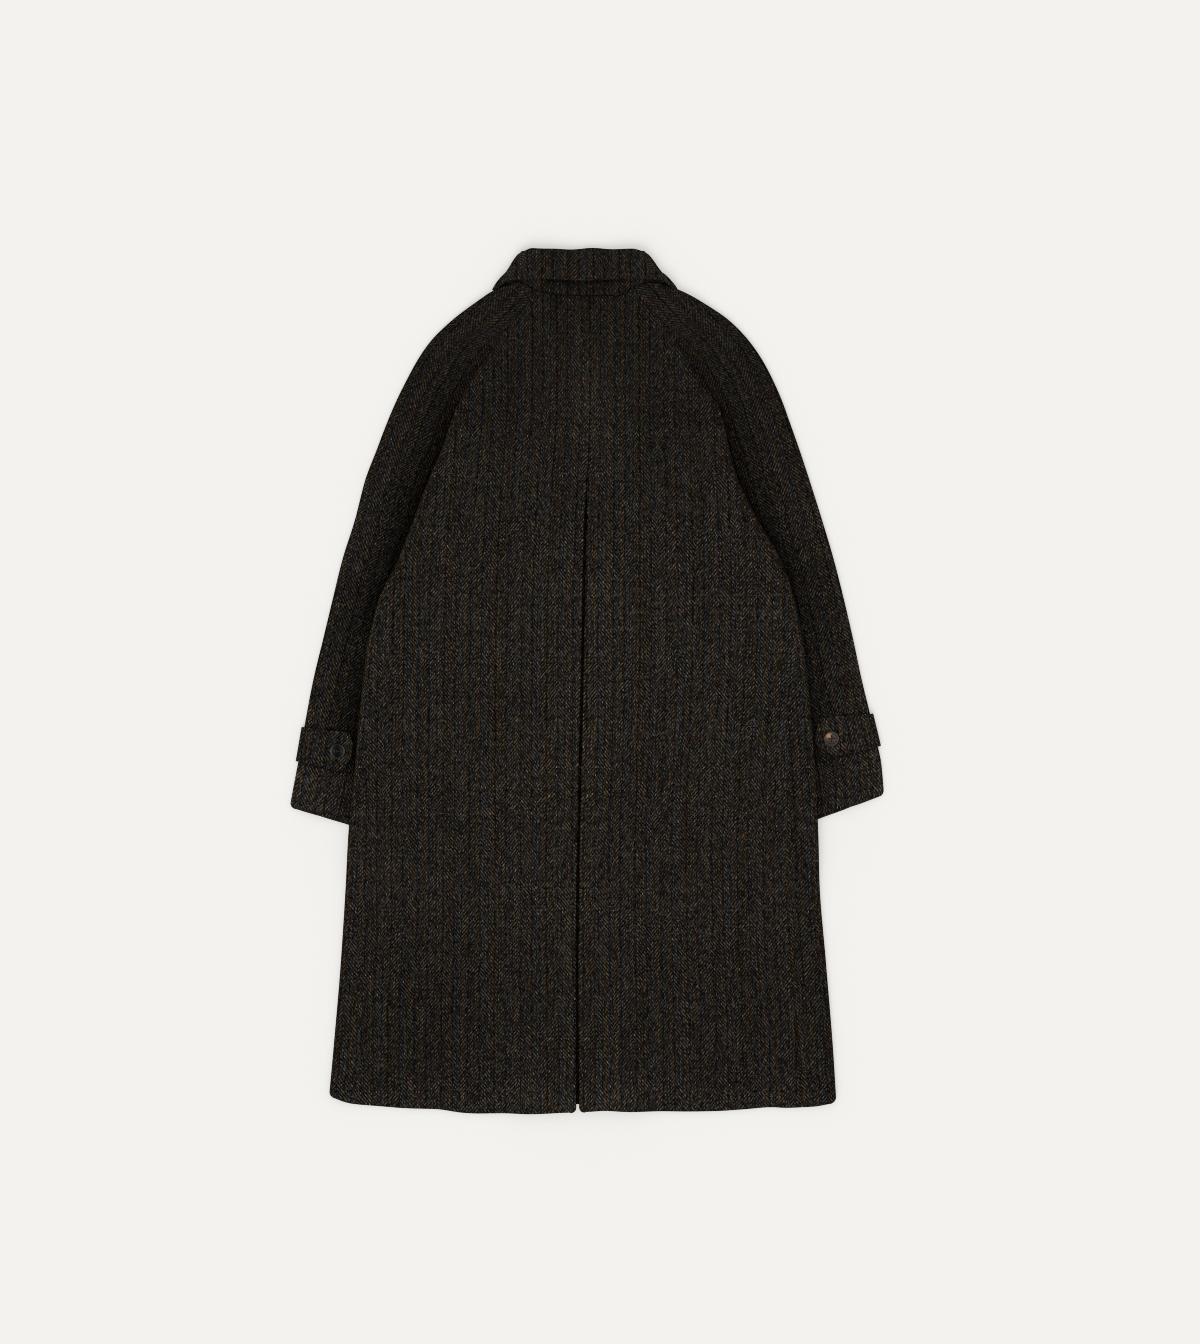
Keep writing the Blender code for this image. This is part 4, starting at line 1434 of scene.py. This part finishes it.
def makeHorn(side, centre):
    look = horns[side]
    material, nodes, surface = newMaterial(look["name"], {"Specular IOR Level": look["gloss"]})
    local = vectorCalc("SUBTRACT", objectSpace(nodes), tuple(centre))
    unit = 1 / (button["radius"] * mm)
    flat = vectorCalc("MULTIPLY", local, (unit, unit, 0))
    away = addNode("VectorMath", flat, operation="LENGTH").outputs["Value"]
    streaks = noise(vectorCalc("MULTIPLY", flat, horn["stretch"]), horn["streakScale"], 4)
    streaks.inputs["Distortion"].default_value = horn["streakTwist"]
    grains = noise(flat, horn["grainScale"], 2).outputs[0]
    heading = split(vectorCalc("NORMALIZE", flat))
    # Painted reflections to the left and right of the painted rings
    sideways = times(heading[0], heading[0])
    colour = scaled(ramp(away, look["rings"], "LINEAR"), spread(sideways, *look["sideGain"]))
    colour = scaled(colour, spread(streaks.outputs[0], *horn["streaks"]))
    # A painted highlight at the upper left
    if look["glow"]:
        leftUp = times(minus(heading[1], heading[0]), math.sqrt(0.5))
        wedge = calc("POWER", calc("MAXIMUM", leftUp, 0), horn["glowPower"])
        inside = calc("LESS_THAN", away, horn["glowEnd"])
        colour = blendColour(times(wedge, inside), colour, (*look["glow"], 1))
    wire(surface["Base Color"], scaled(colour, spread(grains, *horn["grain"])))
    wire(surface["Roughness"], spread(grains, *horn["roughness"]))
    return material


def makeThread(side):
    material, nodes, surface = newMaterial(f"thread {side}", {"Roughness": 0.75})
    twist = noise(objectSpace(nodes), button["threadTwist"], 2).outputs[0]
    wire(surface["Base Color"], scaled(horns[side]["thread"], spread(twist, 0.6, 1.5)))
    return material


for side in sides:
    own = strap[side]
    offsets = (0, -button["rest"], button["rest"])
    spots = [sleeveLevels(side, own["buttonSection"], own["buttonReach"] + offset) for offset in offsets]
    middle, outer, inner = [Vector((x, y, high)) for x, y, low, high in spots]
    slope = (inner - outer).normalized()
    lean = slope.cross(Vector((-slope.y, slope.x, 0))).normalized()
    up = lean if lean.z > 0 else -lean
    seat = (middle + up * (strapRise() + strap["thick"] / 2 + strap["puff"] + button["lie"])) * mm
    disc = turnButton(side)
    thread = sewButton(side)
    for piece in (disc, thread):
        activate(piece)
        piece.rotation_euler = (0, 0, math.radians(horns[side]["turn"]))
        applyPlace()
        piece.location = seat
        piece.rotation_euler = Vector((0, 0, 1)).rotation_difference(up).to_euler()
        applyPlace()
        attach(piece, "root")
    disc.data.materials.clear()
    disc.data.materials.append(makeHorn(side, seat + up * button["height"] * mm))
    thread.data.materials.clear()
    thread.data.materials.append(makeThread(side))
    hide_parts(f"button_{side}")
print("buttons sewn on")


# Surface, light and camera

studio = {
    "floorColour": (0.45, 0.4467, 0.433),
    "floorGlow": (0.415, 0.4112, 0.398),   # the floor is a lit table, so shadows stay faint
    "unlit": (185, 480),   # under the coat it is not lit
    "floorSize": 30,     # in metres, as are the camera's height and reach
    "floorDrop": 0.3,
    "skyColour": (1, 0.995, 0.985),
    "sky": 0.775,
    "keyStrength": 1.5,
    "keyFromTop": 52,
    "keyFromLeft": 14,
    "keySoft": 42,
    "sensor": 24,
    "cameraHeight": 5.0,
    "cameraReach": 60,
    "centre": (17.7, 12.1),
    "frameHeight": 1803.6,
}

floorAt = (0, 0, -studio["floorDrop"] * mm)
floorPlane = addStart("primitive_plane_add", size=studio["floorSize"], location=floorAt)
floorPlane.name = "pale_floor"
applyPlace()
paper, paperNodes, paperSurface = newMaterial("pale floor", {
    "Base Color": (*studio["floorColour"], 1),
    "Emission Color": (*studio["floorGlow"], 1),
    "Roughness": 1,
    "Specular IOR Level": 0,
})
lit = []
for axis, half in zip(split(objectSpace(paperNodes)), studio["unlit"]):
    lit.append(calc("GREATER_THAN", calc("ABSOLUTE", axis), half * mm))
wire(paperSurface["Emission Strength"], calc("MAXIMUM", *lit))
floorPlane.data.materials.append(paper)

world = bpy.data.worlds.new("studio")
world.use_nodes = True
sky = world.node_tree.nodes["Background"]
sky.inputs[0].default_value = (*studio["skyColour"], 1)
sky.inputs[1].default_value = studio["sky"]
scene.world = world

keyData = bpy.data.lights.new("key", "SUN")
keyData.energy = studio["keyStrength"]
keyData.angle = math.radians(studio["keySoft"])
key = bpy.data.objects.new("key", keyData)
key.rotation_euler = (math.radians(studio["keyFromTop"]), 0, -math.radians(studio["keyFromLeft"]))
scene.collection.objects.link(key)

lensData = bpy.data.cameras.new("overhead")
lensData.sensor_fit = "VERTICAL"
lensData.sensor_height = studio["sensor"]
lensData.lens = studio["sensor"] * studio["cameraHeight"] / (studio["frameHeight"] * mm)
lensData.clip_end = studio["cameraReach"]
overhead = bpy.data.objects.new("overhead", lensData)
overhead.location = (studio["centre"][0] * mm, studio["centre"][1] * mm, studio["cameraHeight"])
scene.collection.objects.link(overhead)
scene.camera = overhead
scene.view_settings.view_transform = "Standard"
scene.cycles.use_denoising = False   # it would wipe the weave away
scene.cycles.filter_width = 1.0
print("studio set")
